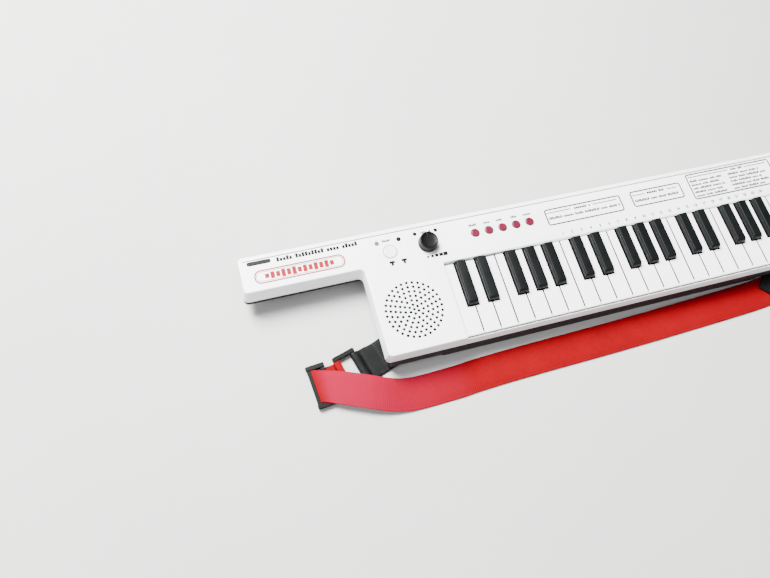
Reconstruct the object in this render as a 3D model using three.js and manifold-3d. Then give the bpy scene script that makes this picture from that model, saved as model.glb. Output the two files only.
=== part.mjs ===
// A keytar: a shoulder keyboard with 37 small keys, a short neck, a built-in speaker and a webbing strap.
// It lies on its back. +X runs along the keys towards the treble, +Y towards the neck side, +Z up.
// The origin is the middle of the flat underside. All sizes are in millimetres.
import * as THREE from "three";
import { mergeVertices } from "three/addons/utils/BufferGeometryUtils.js";
import Module from "manifold-3d";

const wasm = await Module();
wasm.setup();

// Keyboard
const keyPitch = 18;
const octaveCount = 3;
const keyFront = 2; // from the housing's front edge to the white keys' front faces
const whiteLength = 74.3;
const whiteTop = 31;
const whiteFrontDrop = 7.5;
const keyWall = 1.6;
const keyTopWall = 2.2;
const keyGap = 0.8;
const blackWidth = 10.6;
const blackLength = 45;
const blackRise = 6.4;
const blackSlope = 3.4;
const blackRound = 0.9;
const blackSide = 1.8; // from a black key's top down to where its sides start
const blackShoulder = 0.54;
const blackClearance = 0.9;
const keyEdge = 0.5;

// Key hinge: every key snaps over one long rod on the chassis
const hingeFromControls = 11.1;
const hingeZ = 25;
const rodRadius = 1.6;
const rodClearance = 0.3;
const rodWeb = 2.2;
const hookWall = 2.4;
const hookWidth = 8.2;
const railFoot = 12;
const railFootHeight = 6;

// Housing
const cheekLeft = 78;
const cheekRight = 18;
const panelDepth = 49.7; // from behind the keys to the housing's back edge
const housingTop = 34;
const splitHeight = 19;
const joinGap = 0.3;
const wall = 2.2;
const edgeRound = 1.1;
const frontDraft = 2;
const backDraft = 3;
const endDraft = 1.6;
const neckFrontDraft = 3.6;
const cornerRadius = 4;
const innerCornerRadius = 5;
const baseInset = 4; // of the lower shell's base from its sides and back
const frontFlare = 1.7; // of the lower shell's base in front of its top
const neckFlare = 1.2;
const baseRound = 2.4;
const seamFromBack = 4.6;
const seamWidth = 0.9;
const seamDepth = 0.7;
const seamStart = 14; // from the neck's end to where the seam groove starts

// Neck
const neckLength = 115;
const neckDepth = 36;
const neckUnderside = 15;
const neckFloorWall = 1.6;

// Key opening
const openingGap = 0.6;
const openingSlope = 2.6;
const lipTop = 28.2;
const lipInner = 1.2;
const lipEdge = 1;
const lipBase = 0.6;

// Speaker and its grille
const grilleX = -42.3;
const grilleY = 39.4;
const grilleRings = 6;
const grilleRingStep = 4.55;
const grilleRingGrowth = 5; // holes that each ring has more than the one inside it
const grilleHoleRadius = 0.95;
const grilleHoleSides = 6;
const speakerRadius = 29.6;
const speakerRim = 2.4;
const speakerRimWidth = 2.6;
const speakerDepth = 17;
const speakerMagnetRadius = 15;
const speakerMagnetHeight = 6;
const speakerConeDepth = 7;
const speakerCapRadius = 8;
const speakerCapRise = 2.6;

// Controls
const buttonRadius = 4.4;
const buttonCount = 5;
const buttonPitch = 15;
const buttonFirstX = 41.5;
const controlsFromKeys = 26.8;
const buttonProud = 1.3;
const buttonTravel = 1.5;
const buttonGap = 0.35;
const buttonFlange = 1.3;
const buttonFlangeHeight = 1;
const buttonStemRadius = 1.6;
const powerX = -48.4;
const powerFromControls = 1.3;
const powerRadius = 6.4;
const powerProud = 0.6;
const powerTravel = 2;
const powerSwitchSize = 8;
const powerSwitchHeight = 9;
const knobX = -9.5;
const knobFromControls = 0.8;
const knobRadius = 9.2;
const knobHeight = 8.4;
const knobRise = 0.6;
const knobRound = 1.4;
const knobGripCount = 24;
const knobGripDepth = 0.35;
const knobDish = 0.5;
const knobPointerDepth = 1;
const knobPointerStart = 2.8;
const potRadius = 8;
const potHeight = 8;
const potBushRadius = 3.6;
const shaftRadius = 3;
const shaftLength = 5.5;
const shaftClearance = 0.3;

// Boards inside
const boardThickness = 1.6;
const mainBoardMargin = 13;
const mainBoardFromBack = 7.4;
const tactSize = 6;
const chipSize = 10.8;
const tactHeight = 3.2;
const contactBoardY = 40;
const contactBoardDepth = 26;
const contactBoardTop = 20.3;
const domeWidth = 7;
const domeRadius = 2.5;
const domeTopRadius = 1.8;
const domeBase = 0.8;
const domeHeight = 1.4;
const postRadius = 2.6;

// Battery compartment, opened from below
const batteryX = 182;
const batteryY = 16;
const batteryWidth = 62;
const batteryDepth = 54;
const batteryRoof = 18.2;
const coverInset = 0.6;
const coverThickness = 2;
const coverLedge = 2.2;
const coverCornerRadius = 3;
const coverGripLength = 14;
const coverGripWidth = 1.2;
const coverGripCount = 4;
const coverGripPitch = 3.3;
const coverGripDepth = 0.7;

// Screw wells and bosses that close the housing
const bossRadius = 3.6;
const screwHoleRadius = 1.4;
const wellRadius = 3.4;
const wellDepth = 8;
const bossInset = 7.5;
const frontBossInset = 11.25;
const neckBossInset = 15;

// Strap
const webbingWidth = 32;
const webbingThickness = 1.5;
const layGap = 0.3;
const frameBar = 3.4;
const frameThickness = 2.8;
const frameSideWall = 3.2;
const frameSlack = 0.8;
const ringLength = 22;
const sliderLength = 17;
const sliderSlot = 3;
const ringX = -110;
const ringY = 1.5;
const sliderX = -142.5;
const sliderY = -4;
const sliderHeading = 0.09;
const tabThickness = 1.8;
const tabEndRadius = 11;
const tabTaper = 20;
const tabFlap = 10;
const rightTabWidth = 24;
const pegX = -50;
const pegY = 18.5;
const pegRadius = 3.2;
const pegHeadRadius = 5.6;
const pegHeadHeight = 1.5;
const pegHoleClearance = 0.5;
const recessDepth = 6.2;
const recessLength = 58;
const rightRecessLength = 72;
const recessReach = 40;
const rightPegFromEnd = 22;
const runSteps = 44;

// Mesh detail
const arcSteps = 5;
const roundSteps = 3;
const discSides = 24;
const smallSides = 12;
const boreSides = 10;
const overrun = 1;

// Colours of the mouldings
const white = { color: 0xeef1f1, roughness: 0.38, metalness: 0 };
const keyWhite = { color: 0xf4f4f6, roughness: 0.3, metalness: 0 };
const keyBlack = { color: 0x26292a, roughness: 0.38, metalness: 0 };
const darkGrey = { color: 0x3c3739, roughness: 0.55, metalness: 0 };
const black = { color: 0x232627, roughness: 0.5, metalness: 0 };
const red = { color: 0xc8506a, roughness: 0.42, metalness: 0 };
const webbingRed = { color: 0xd62b31, roughness: 0.85, metalness: 0 };
const boardGreen = { color: 0x2f6b45, roughness: 0.6, metalness: 0 };
const rubberGrey = { color: 0x9a9c9d, roughness: 0.85, metalness: 0 };
const steel = { color: 0x9d9fa1, roughness: 0.4, metalness: 0.9 };

// Derived places
const whiteCount = 7 * octaveCount + 1;
const keyboardLength = whiteCount * keyPitch;
const bodyLeft = -cheekLeft;
const bodyRight = keyboardLength + cheekRight;
const neckLeft = bodyLeft - neckLength;
const keyBack = keyFront + whiteLength;
const housingDepth = keyBack + panelDepth;
const controlsY = keyBack + controlsFromKeys;
const hingeY = controlsY - hingeFromControls;
const powerY = controlsY - powerFromControls;
const knobY = controlsY - knobFromControls;
const neckFront = housingDepth - neckDepth;
const plateUnder = housingTop - wall;
const shellHeight = housingTop - splitHeight;
const keyUnder = whiteTop - whiteFrontDrop;
const floorTop = wall;

// Solids and booleans

function solidFrom(geometry) {
  const plain = new THREE.BufferGeometry();
  plain.setAttribute("position", geometry.getAttribute("position").clone());
  if (geometry.index) {
    plain.setIndex(geometry.index.clone());
  }
  const merged = mergeVertices(plain, 1e-5);
  const mesh = new wasm.Mesh({
    numProp: 3,
    vertProperties: new Float32Array(merged.getAttribute("position").array),
    triVerts: new Uint32Array(merged.index.array),
  });
  return new wasm.Manifold(mesh);
}

function geometryFrom(solid) {
  const mesh = solid.getMesh();
  const geometry = new THREE.BufferGeometry();
  geometry.setAttribute("position", new THREE.BufferAttribute(mesh.vertProperties, 3));
  geometry.setIndex(new THREE.BufferAttribute(mesh.triVerts, 1));
  geometry.computeVertexNormals();
  return geometry;
}

function box(x0, x1, y0, y1, z0, z1) {
  const geometry = new THREE.BoxGeometry(x1 - x0, y1 - y0, z1 - z0);
  geometry.translate((x0 + x1) / 2, (y0 + y1) / 2, (z0 + z1) / 2);
  return solidFrom(geometry);
}

function cylinder(x, y, radius, z0, z1, sides = discSides, topRadius = radius) {
  const geometry = new THREE.CylinderGeometry(topRadius, radius, z1 - z0, sides);
  geometry.rotateX(Math.PI / 2);
  geometry.translate(x, y, (z0 + z1) / 2);
  return solidFrom(geometry);
}

// A turned body: its profile starts and ends on the axis
function turned(profile, x, y, sides = discSides) {
  const upwards = profile[0][1] < profile[profile.length - 1][1] ? profile : profile.slice().reverse();
  const points = upwards.map(([radius, z]) => new THREE.Vector2(radius, z));
  const geometry = new THREE.LatheGeometry(points, sides);
  geometry.rotateX(Math.PI / 2);
  geometry.translate(x, y, 0);
  return solidFrom(geometry);
}

// A plan outline raised from z0 to z1
function raised(points, z0, z1) {
  const shape = new THREE.Shape(points);
  const geometry = new THREE.ExtrudeGeometry(shape, { depth: z1 - z0, bevelEnabled: false });
  geometry.translate(0, 0, z0);
  return solidFrom(geometry);
}

// A side profile, given as (y, z) points, drawn along X
function drawnAlongX(points, x0, x1) {
  const shape = new THREE.Shape(points.map(([y, z]) => new THREE.Vector2(y, z)));
  const geometry = new THREE.ExtrudeGeometry(shape, { depth: x1 - x0, bevelEnabled: false });
  geometry.applyMatrix4(new THREE.Matrix4().makeBasis(
    new THREE.Vector3(0, 1, 0),
    new THREE.Vector3(0, 0, 1),
    new THREE.Vector3(1, 0, 0),
  ));
  geometry.translate(x0, 0, 0);
  return solidFrom(geometry);
}

function joined(solids) {
  return solids.reduce((whole, piece) => whole.add(piece));
}

// Plan outline of square corners, each rounded by its own radius
function roundedOutline(corners, steps = arcSteps) {
  const points = [];
  corners.forEach((corner, i) => {
    const before = corners[(i + corners.length - 1) % corners.length];
    const after = corners[(i + 1) % corners.length];
    const here = new THREE.Vector2(corner.x, corner.y);
    const inwards = here.clone().sub(new THREE.Vector2(before.x, before.y)).normalize();
    const outwards = new THREE.Vector2(after.x, after.y).sub(here).normalize();
    const centre = here.clone().addScaledVector(inwards, -corner.r).addScaledVector(outwards, corner.r);
    for (let k = 0; k <= steps; k += 1) {
      const angle = (Math.PI / 2) * (k / steps);
      points.push(centre.clone()
        .addScaledVector(outwards, -corner.r * Math.cos(angle))
        .addScaledVector(inwards, corner.r * Math.sin(angle)));
    }
  });
  return points;
}

// A closed body through plan outlines of equal point count, one at each height
function lofted(levels) {
  const count = levels[0].outline.length;
  const positions = [];
  const index = [];
  for (const level of levels) {
    for (const point of level.outline) {
      positions.push(point.x, point.y, level.z);
    }
  }
  for (let k = 0; k + 1 < levels.length; k += 1) {
    for (let i = 0; i < count; i += 1) {
      const a = k * count + i;
      const b = k * count + ((i + 1) % count);
      index.push(a, b, b + count, a, b + count, a + count);
    }
  }
  const last = (levels.length - 1) * count;
  for (const [a, b, c] of THREE.ShapeUtils.triangulateShape(levels[0].outline, [])) {
    index.push(c, b, a);
  }
  for (const [a, b, c] of THREE.ShapeUtils.triangulateShape(levels[levels.length - 1].outline, [])) {
    index.push(last + a, last + b, last + c);
  }
  const geometry = new THREE.BufferGeometry();
  geometry.setAttribute("position", new THREE.Float32BufferAttribute(positions, 3));
  geometry.setIndex(index);
  return solidFrom(geometry);
}

// Heights and insets of a quarter round, from the wall up to the flat
function quarterRound(z, radius, upwards) {
  const rows = [];
  for (let k = 0; k <= roundSteps; k += 1) {
    const angle = (Math.PI / 2) * (k / roundSteps);
    const rise = radius * (Math.sin(angle) - 1);
    rows.push({ z: z + (upwards ? rise : -rise), inset: radius * (1 - Math.cos(angle)) });
  }
  return rows;
}

// Housing shells

// The L-shaped plan at a height, with every side at its own draft and pulled in by an inset
function housingPlan(z, inset) {
  const share = (housingTop - z) / shellHeight;
  const left = neckLeft - endDraft * share + inset;
  const bodySide = bodyLeft - endDraft * share + inset;
  const right = bodyRight + endDraft * share - inset;
  const front = -frontDraft * share + inset;
  const back = housingDepth + backDraft * share - inset;
  const neckSide = neckFront - neckFrontDraft * share + inset;
  const convex = Math.max(cornerRadius - inset, keyEdge);
  return roundedOutline([
    { x: bodySide, y: front, r: convex },
    { x: right, y: front, r: convex },
    { x: right, y: back, r: convex },
    { x: left, y: back, r: convex },
    { x: left, y: neckSide, r: convex },
    { x: bodySide, y: neckSide, r: innerCornerRadius + inset },
  ]);
}

function rectanglePlan(x0, x1, y0, y1, radius) {
  return roundedOutline([
    { x: x0, y: y0, r: radius },
    { x: x1, y: y0, r: radius },
    { x: x1, y: y1, r: radius },
    { x: x0, y: y1, r: radius },
  ]);
}

// Where the housing's screws stand: along the front and back of the body, and in the neck
function screwPlaces() {
  const back = housingDepth - bossInset;
  const bodyShares = [0, 0.17, 0.45, 0.73, 1];
  const span = bodyRight - bodyLeft - 2 * bossInset;
  const places = [];
  for (const share of bodyShares) {
    const x = bodyLeft + bossInset + share * span;
    places.push({ x, y: back, base: 0 });
    if (share === 0 || share === 1) {
      places.push({ x, y: keyBack - bossInset, base: 0 });
    }
  }
  places.push({ x: -openingGap - bossRadius - wall, y: frontBossInset, base: 0 });
  places.push({ x: neckLeft + neckBossInset, y: neckFront + neckDepth / 2, base: neckUnderside });
  return places;
}

function grilleHoles() {
  const holes = [];
  for (let ring = 0; ring <= grilleRings; ring += 1) {
    const count = grilleRingGrowth * ring + 1;
    for (let i = 0; i < count; i += 1) {
      const angle = Math.PI / 2 - (2 * Math.PI * i) / count;
      holes.push([
        grilleX + ring * grilleRingStep * Math.cos(angle),
        grilleY + ring * grilleRingStep * Math.sin(angle),
      ]);
    }
  }
  return holes;
}

function buttonPlaces() {
  return Array.from({ length: buttonCount }, (_, i) => buttonFirstX + i * buttonPitch);
}

function topShell() {
  const outer = lofted([
    { z: splitHeight, outline: housingPlan(splitHeight, 0) },
    ...quarterRound(housingTop, edgeRound, true)
      .map(({ z, inset }) => ({ z, outline: housingPlan(z, inset) })),
  ]);
  const hollow = lofted([
    { z: splitHeight - overrun, outline: housingPlan(splitHeight - overrun, wall) },
    { z: plateUnder, outline: housingPlan(plateUnder, wall) },
  ]);
  const bosses = screwPlaces().map(({ x, y }) => cylinder(
    x, y, bossRadius, splitHeight + joinGap, plateUnder + overrun, smallSides,
  ));
  const rimSpace = speakerRadius + shaftClearance;
  const grilleRim = cylinder(grilleX, grilleY, rimSpace + wall, plateUnder - speakerRim, plateUnder + overrun)
    .subtract(cylinder(grilleX, grilleY, rimSpace, splitHeight, plateUnder));
  const boardPosts = buttonBoardPosts();
  let shell = joined([outer.subtract(hollow), ...bosses, grilleRim, ...boardPosts]);

  const openingLeft = -openingGap;
  const openingRight = keyboardLength + openingGap;
  const opening = drawnAlongX([
    [lipInner, splitHeight - overrun],
    [keyBack + openingGap, splitHeight - overrun],
    [keyBack + openingGap, plateUnder],
    [keyBack + openingGap + openingSlope, housingTop],
    [keyBack + openingGap + openingSlope, housingTop + overrun],
    [-frontDraft - overrun, housingTop + overrun],
    [-frontDraft - overrun, splitHeight + lipBase],
    [-frontDraft, splitHeight + lipBase],
    [lipInner - lipEdge, lipTop],
    [lipInner, lipTop],
  ], openingLeft, openingRight);
  shell = shell.subtract(opening);

  const cuts = grilleHoles().map(([x, y]) => cylinder(
    x, y, grilleHoleRadius, splitHeight, housingTop + overrun, grilleHoleSides,
  ));
  for (const x of buttonPlaces()) {
    cuts.push(cylinder(x, controlsY, buttonRadius + buttonGap, splitHeight, housingTop + overrun, discSides));
  }
  cuts.push(cylinder(powerX, powerY, powerRadius + buttonGap, splitHeight, housingTop + overrun));
  cuts.push(cylinder(
    knobX, knobY, potBushRadius + shaftClearance, splitHeight, housingTop + overrun, smallSides,
  ));
  for (const { x, y } of screwPlaces()) {
    cuts.push(cylinder(x, y, screwHoleRadius, splitHeight - overrun, plateUnder, grilleHoleSides));
  }
  const seamY = housingDepth - seamFromBack;
  cuts.push(box(neckLeft + seamStart, bodyRight + overrun + endDraft, seamY - seamWidth / 2,
    seamY + seamWidth / 2, housingTop - seamDepth, housingTop + overrun));
  for (const cut of cuts) {
    shell = shell.subtract(cut);
  }
  return shell;
}

function bottomShell() {
  const top = splitHeight - joinGap;
  const left = bodyLeft - endDraft;
  const right = bodyRight + endDraft;
  const front = -frontDraft;
  const back = housingDepth + backDraft;
  const corner = (inset) => Math.max(cornerRadius - inset, keyEdge);
  const plan = (inset, taper) => {
    const narrowing = inset + taper * baseInset;
    return rectanglePlan(left + narrowing, right - narrowing,
      front + inset - taper * frontFlare, back - narrowing, corner(inset));
  };
  const foot = quarterRound(0, baseRound, false).reverse();
  const body = lofted([
    ...foot.map(({ z, inset }) => ({ z, outline: plan(inset, 1) })),
    { z: top, outline: plan(0, 0) },
  ]);
  const bodyHollow = lofted([
    { z: floorTop, outline: plan(wall, 1) },
    { z: top + overrun, outline: plan(wall, 0) },
  ]);
  const neckPlan = (inset, reach, flare) => rectanglePlan(neckLeft - endDraft + inset, bodyLeft + reach,
    neckFront - neckFrontDraft + inset - flare, back - inset, corner(inset));
  const neckFloor = neckUnderside + neckFloorWall;
  const neck = lofted([
    { z: neckUnderside, outline: neckPlan(neckFloorWall, cornerRadius, neckFlare) },
    { z: neckFloor, outline: neckPlan(0, cornerRadius, neckFlare) },
    { z: top, outline: neckPlan(0, cornerRadius, 0) },
  ]);
  const neckHollow = lofted([
    { z: neckFloor, outline: neckPlan(wall, cornerRadius + wall, 0) },
    { z: top + overrun, outline: neckPlan(wall, cornerRadius + wall, 0) },
  ]);
  let shell = body.add(neck).subtract(bodyHollow).subtract(neckHollow);

  const wells = screwPlaces();
  for (const { x, y, base } of wells) {
    shell = shell.add(cylinder(x, y, wellRadius + wall, base + keyEdge, top - joinGap, smallSides));
  }
  for (const recess of strapRecesses()) {
    shell = shell.add(recess.skin.intersect(body));
  }
  shell = shell.add(batteryPocket());
  shell = joined([shell, ...ribs()]);
  for (const { x, y, base } of wells) {
    const depth = Math.min(wellDepth, top - base - wall);
    if (base === 0) {
      shell = shell.subtract(cylinder(x, y, wellRadius, base - overrun, base + depth, smallSides));
    }
    shell = shell.subtract(cylinder(x, y, screwHoleRadius, base - overrun, top + overrun, grilleHoleSides));
  }
  for (const recess of strapRecesses()) {
    shell = shell.subtract(recess.space);
  }
  shell = joined([shell, strapPeg(pegX), strapPeg(bodyRight - rightPegFromEnd)]);
  return shell.subtract(batteryOpening());
}

// The shallow recesses under the front corners where the strap's ends lie, each with its skin
function strapRecesses() {
  const front = -frontDraft - frontFlare - overrun;
  const spans = [
    [bodyLeft - endDraft - overrun, bodyLeft + recessLength],
    [bodyRight - rightRecessLength, bodyRight + endDraft + overrun],
  ];
  return spans.map(([x0, x1]) => ({
    space: box(x0, x1, front, recessReach, -overrun, recessDepth),
    skin: box(x0 - wall, x1 + wall, front, recessReach + wall, keyEdge, recessDepth + wall),
  }));
}

function strapPeg(x) {
  return turned([
    [0, layGap],
    [pegHeadRadius - keyEdge, layGap],
    [pegHeadRadius, layGap + keyEdge],
    [pegHeadRadius, layGap + pegHeadHeight],
    [pegRadius, layGap + pegHeadHeight],
    [pegRadius, recessDepth + wall / 2],
    [0, recessDepth + wall / 2],
  ], x, pegY, smallSides);
}

function batteryPocket() {
  return box(batteryX - wall, batteryX + batteryWidth + wall, batteryY - wall, batteryY + batteryDepth + wall,
    keyEdge, batteryRoof);
}

function batteryOpening() {
  const cells = box(batteryX, batteryX + batteryWidth, batteryY, batteryY + batteryDepth,
    -overrun, batteryRoof - wall);
  const seat = raised(coverPlan(coverLedge - keyEdge, coverCornerRadius), -overrun,
    coverInset + coverThickness + joinGap);
  return cells.add(seat);
}

// The battery opening's plan, grown by a margin
function coverPlan(margin, radius) {
  return rectanglePlan(batteryX - margin, batteryX + batteryWidth + margin,
    batteryY - margin, batteryY + batteryDepth + margin, radius);
}

function batteryCover() {
  const clear = joinGap + keyEdge;
  let cover = raised(coverPlan(coverLedge - clear, coverCornerRadius - joinGap),
    coverInset, coverInset + coverThickness);
  const middle = batteryX + batteryWidth / 2;
  for (let i = 0; i < coverGripCount; i += 1) {
    const y = batteryY + batteryDepth - coverGripPitch * (i + 1);
    cover = cover.subtract(box(middle - coverGripLength / 2, middle + coverGripLength / 2,
      y - coverGripWidth / 2, y + coverGripWidth / 2, coverInset - overrun, coverInset + coverGripDepth));
  }
  return cover;
}

// Ribs on the housing floor that carry the chassis and the contact board
function ribs() {
  const under = contactBoardTop - boardThickness - joinGap;
  const ribShares = [0.06, 0.2, 0.34, 0.66, 0.8, 0.94];
  const solids = ribShares.map((share) => {
    const x = share * keyboardLength;
    return box(x - keyWall / 2, x + keyWall / 2, contactBoardY + keyWall,
      contactBoardY + contactBoardDepth - keyWall, floorTop - keyEdge, under);
  });
  return solids;
}

// Posts under the top plate that carry the button board
function buttonBoardPosts() {
  const { x0, x1, y0, y1 } = mainBoardPlan();
  const inset = postRadius + joinGap;
  return [[x0, y0], [x1, y0], [x0, y1], [x1, y1]].map(([x, y]) => cylinder(
    x + (x === x0 ? inset : -inset),
    y + (y === y0 ? inset : -inset),
    postRadius, mainBoardTop() + joinGap, plateUnder + overrun, smallSides,
  ));
}

// Inside pieces

function mainBoardPlan() {
  const places = buttonPlaces();
  const y0 = controlsY - tactSize / 2 - keyEdge;
  return {
    x0: places[0] - mainBoardMargin,
    x1: places[places.length - 1] + mainBoardMargin,
    y0,
    y1: housingDepth - mainBoardFromBack,
  };
}

function buttonStemBottom() {
  return mainBoardTop() + tactHeight + buttonTravel + layGap;
}

function mainBoardTop() {
  return plateUnder - buttonFlangeHeight - joinGap - buttonTravel * 3 - tactHeight;
}

function mainBoard() {
  const { x0, x1, y0, y1 } = mainBoardPlan();
  const top = mainBoardTop();
  const solids = [box(x0, x1, y0, y1, top - boardThickness, top)];
  for (const x of buttonPlaces()) {
    solids.push(box(x - tactSize / 2, x + tactSize / 2, controlsY - tactSize / 2, controlsY + tactSize / 2,
      top - keyEdge, top + tactHeight - keyEdge));
    solids.push(cylinder(x, controlsY, buttonStemRadius, top, top + tactHeight, smallSides));
  }
  const chip = { x: (x0 + x1) / 2, y: (y0 + y1) / 2, half: chipSize / 2 };
  solids.push(box(chip.x - chip.half, chip.x + chip.half, chip.y - chip.half, chip.y + chip.half,
    top - boardThickness - keyWall, top - boardThickness + keyEdge));
  return joined(solids);
}

// A button's softly domed top, as shares of its radius and of the edge it drops by
const crownShares = [[0, 0], [0.6, 0.2], [0.89, 0.6], [1, 1.6]];

function crown(radius, top) {
  return crownShares.map(([out, drop]) => [radius * out, top - keyEdge * drop]);
}

function functionButton(x) {
  const top = housingTop + buttonProud;
  const flangeTop = plateUnder - joinGap;
  return turned([
    ...crown(buttonRadius, top),
    [buttonRadius, flangeTop],
    [buttonRadius + buttonFlange, flangeTop],
    [buttonRadius + buttonFlange, flangeTop - buttonFlangeHeight],
    [buttonStemRadius, flangeTop - buttonFlangeHeight],
    [buttonStemRadius, buttonStemBottom()],
    [0, buttonStemBottom()],
  ], x, controlsY, discSides);
}

function powerButton() {
  const top = housingTop + powerProud;
  const flangeTop = plateUnder - joinGap;
  const stem = powerSwitchTop() + joinGap;
  return turned([
    ...crown(powerRadius, top),
    [powerRadius, flangeTop],
    [powerRadius + buttonFlange, flangeTop],
    [powerRadius + buttonFlange, flangeTop - buttonFlangeHeight],
    [buttonStemRadius, flangeTop - buttonFlangeHeight],
    [buttonStemRadius, stem],
    [0, stem],
  ], powerX, powerY);
}

function powerSwitchTop() {
  return plateUnder - buttonFlangeHeight - joinGap * 2 - powerTravel * 2;
}

// The latching switch: its body stands on a pillar of the housing floor, its plunger well gives way
function powerSwitch() {
  const half = powerSwitchSize / 2;
  const top = powerSwitchTop();
  const body = box(powerX - half, powerX + half, powerY - half, powerY + half, top - powerSwitchHeight, top);
  const well = cylinder(powerX, powerY, buttonStemRadius + shaftClearance * 2,
    top - powerTravel - joinGap * 2, top + overrun, smallSides);
  const foot = box(powerX - powerSwitchSize, powerX + powerSwitchSize, powerY - half, powerY + half,
    floorTop + joinGap, top - powerSwitchHeight + keyEdge);
  return body.subtract(well).add(foot);
}

function volumePot() {
  const bodyTop = plateUnder - joinGap;
  return turned([
    [0, housingTop + shaftLength],
    [shaftRadius - keyEdge, housingTop + shaftLength],
    [shaftRadius, housingTop + shaftLength - keyEdge],
    [shaftRadius, housingTop],
    [potBushRadius, housingTop],
    [potBushRadius, bodyTop],
    [potRadius, bodyTop],
    [potRadius, bodyTop - potHeight],
    [0, bodyTop - potHeight],
  ], knobX, knobY, smallSides);
}

// The knob's rounded rim and the start of its dish, as shares of its rounding: inset, drop
const knobTopShares = [[0, 1], [0.3, 0.3], [1, 0], [2, 0]];
const knobRimShare = 2.6;

function volumeKnob() {
  const base = housingTop + knobRise;
  const top = base + knobHeight;
  const outline = [];
  const sides = knobGripCount * 2;
  const skirt = turned([
    [0, base],
    [knobRadius, base],
    ...knobTopShares.map(([inset, drop]) => [knobRadius - knobRound * inset, top - knobRound * drop]),
    [knobRadius - knobRound * knobRimShare, top - knobDish],
    [0, top - knobDish],
  ], knobX, knobY, sides);
  for (let i = 0; i < sides; i += 1) {
    const angle = (2 * Math.PI * i) / sides;
    const radius = knobRadius - (i % 2 === 0 ? 0 : knobGripDepth);
    outline.push(new THREE.Vector2(knobX + radius * Math.cos(angle), knobY + radius * Math.sin(angle)));
  }
  const grips = raised(outline, base - overrun, top + overrun);
  const bore = cylinder(knobX, knobY, shaftRadius + shaftClearance, base - overrun,
    housingTop + shaftLength + joinGap, smallSides);
  const pointer = box(knobX - keyEdge, knobX + keyEdge, knobY + knobPointerStart,
    knobY + knobRadius + overrun, top - knobPointerDepth, top + overrun);
  return skirt.intersect(grips).subtract(bore).subtract(pointer);
}

// The cone's cap, as shares of its radius and rise, and the surround, as shares of the rim's width
const capShares = [[0, 1], [0.6, 0.8], [1, 0]];
const surroundShares = [[2, 0.6], [1.5, 0.2], [1, 0.5]];

function speaker() {
  const rimTop = plateUnder - joinGap;
  const rimUnder = rimTop - speakerRim;
  const rim = speakerRadius;
  const cone = rimTop - speakerConeDepth;
  const bottom = rimTop - speakerDepth;
  return turned([
    ...capShares.map(([out, rise]) => [speakerCapRadius * out, cone + speakerCapRise * rise]),
    ...surroundShares.map(([inset, drop]) => [
      rim - speakerRimWidth * inset,
      rimTop - speakerRimWidth * drop,
    ]),
    [speakerRadius - speakerRimWidth, rimTop],
    [speakerRadius, rimTop],
    [speakerRadius, rimUnder],
    [speakerRadius - speakerRimWidth, rimUnder],
    [speakerMagnetRadius + speakerRimWidth, bottom + speakerMagnetHeight],
    [speakerMagnetRadius, bottom + speakerMagnetHeight],
    [speakerMagnetRadius, bottom + keyEdge],
    [speakerMagnetRadius - keyEdge, bottom],
    [0, bottom],
  ], grilleX, grilleY, discSides);
}

function keyChassis() {
  const profile = [];
  const half = rodWeb / 2;
  profile.push([hingeY - railFoot / 2, floorTop + joinGap]);
  profile.push([hingeY + railFoot / 2, floorTop + joinGap]);
  profile.push([hingeY + railFoot / 2, floorTop + joinGap + railFootHeight - keyEdge]);
  profile.push([hingeY + half, floorTop + joinGap + railFootHeight]);
  const start = Math.asin(half / rodRadius);
  const steps = arcSteps * 2;
  for (let k = 0; k <= steps; k += 1) {
    const angle = -Math.PI / 2 + start + ((2 * Math.PI - 2 * start) * k) / steps;
    profile.push([hingeY + rodRadius * Math.cos(angle), hingeZ + rodRadius * Math.sin(angle)]);
  }
  profile.push([hingeY - half, floorTop + joinGap + railFootHeight]);
  profile.push([hingeY - railFoot / 2, floorTop + joinGap + railFootHeight - keyEdge]);
  return drawnAlongX(profile, joinGap, keyboardLength - joinGap);
}

function contactBoard() {
  return box(joinGap, keyboardLength - joinGap, contactBoardY, contactBoardY + contactBoardDepth,
    contactBoardTop - boardThickness, contactBoardTop);
}

// One strip of rubber with a row of low domes, one under each key's plunger
function contactStrip() {
  const base = contactBoardTop + joinGap;
  const middle = contactBoardY + contactBoardDepth / 2;
  const solids = [box(keyGap, keyboardLength - keyGap, middle - domeWidth / 2, middle + domeWidth / 2,
    base, base + domeBase)];
  for (const place of keyPlaces()) {
    solids.push(cylinder(place.tail, middle, domeRadius, base + domeBase / 2, base + domeHeight,
      grilleHoleSides, domeTopRadius));
  }
  return joined(solids);
}

// Keys

// The white keys' order in an octave, and the equal tails of the two groups from C to E and F to B
function keyPlaces() {
  const groups = [
    { whites: 3, tails: ["white", "black", "white", "black", "white"] },
    { whites: 4, tails: ["white", "black", "white", "black", "white", "black", "white"] },
  ];
  const places = [];
  let whites = 0;
  for (let octave = 0; octave < octaveCount; octave += 1) {
    for (const group of groups) {
      const start = whites * keyPitch;
      const tailWidth = (group.whites * keyPitch) / group.tails.length;
      group.tails.forEach((kind, i) => {
        const tail = start + (i + 0.5) * tailWidth;
        if (kind === "white") {
          places.push({ kind, tail, left: whites * keyPitch });
          whites += 1;
        } else {
          places.push({ kind, tail });
        }
      });
    }
  }
  places.push({ kind: "white", tail: (whites + 0.5) * keyPitch, left: whites * keyPitch });
  return places;
}

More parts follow.
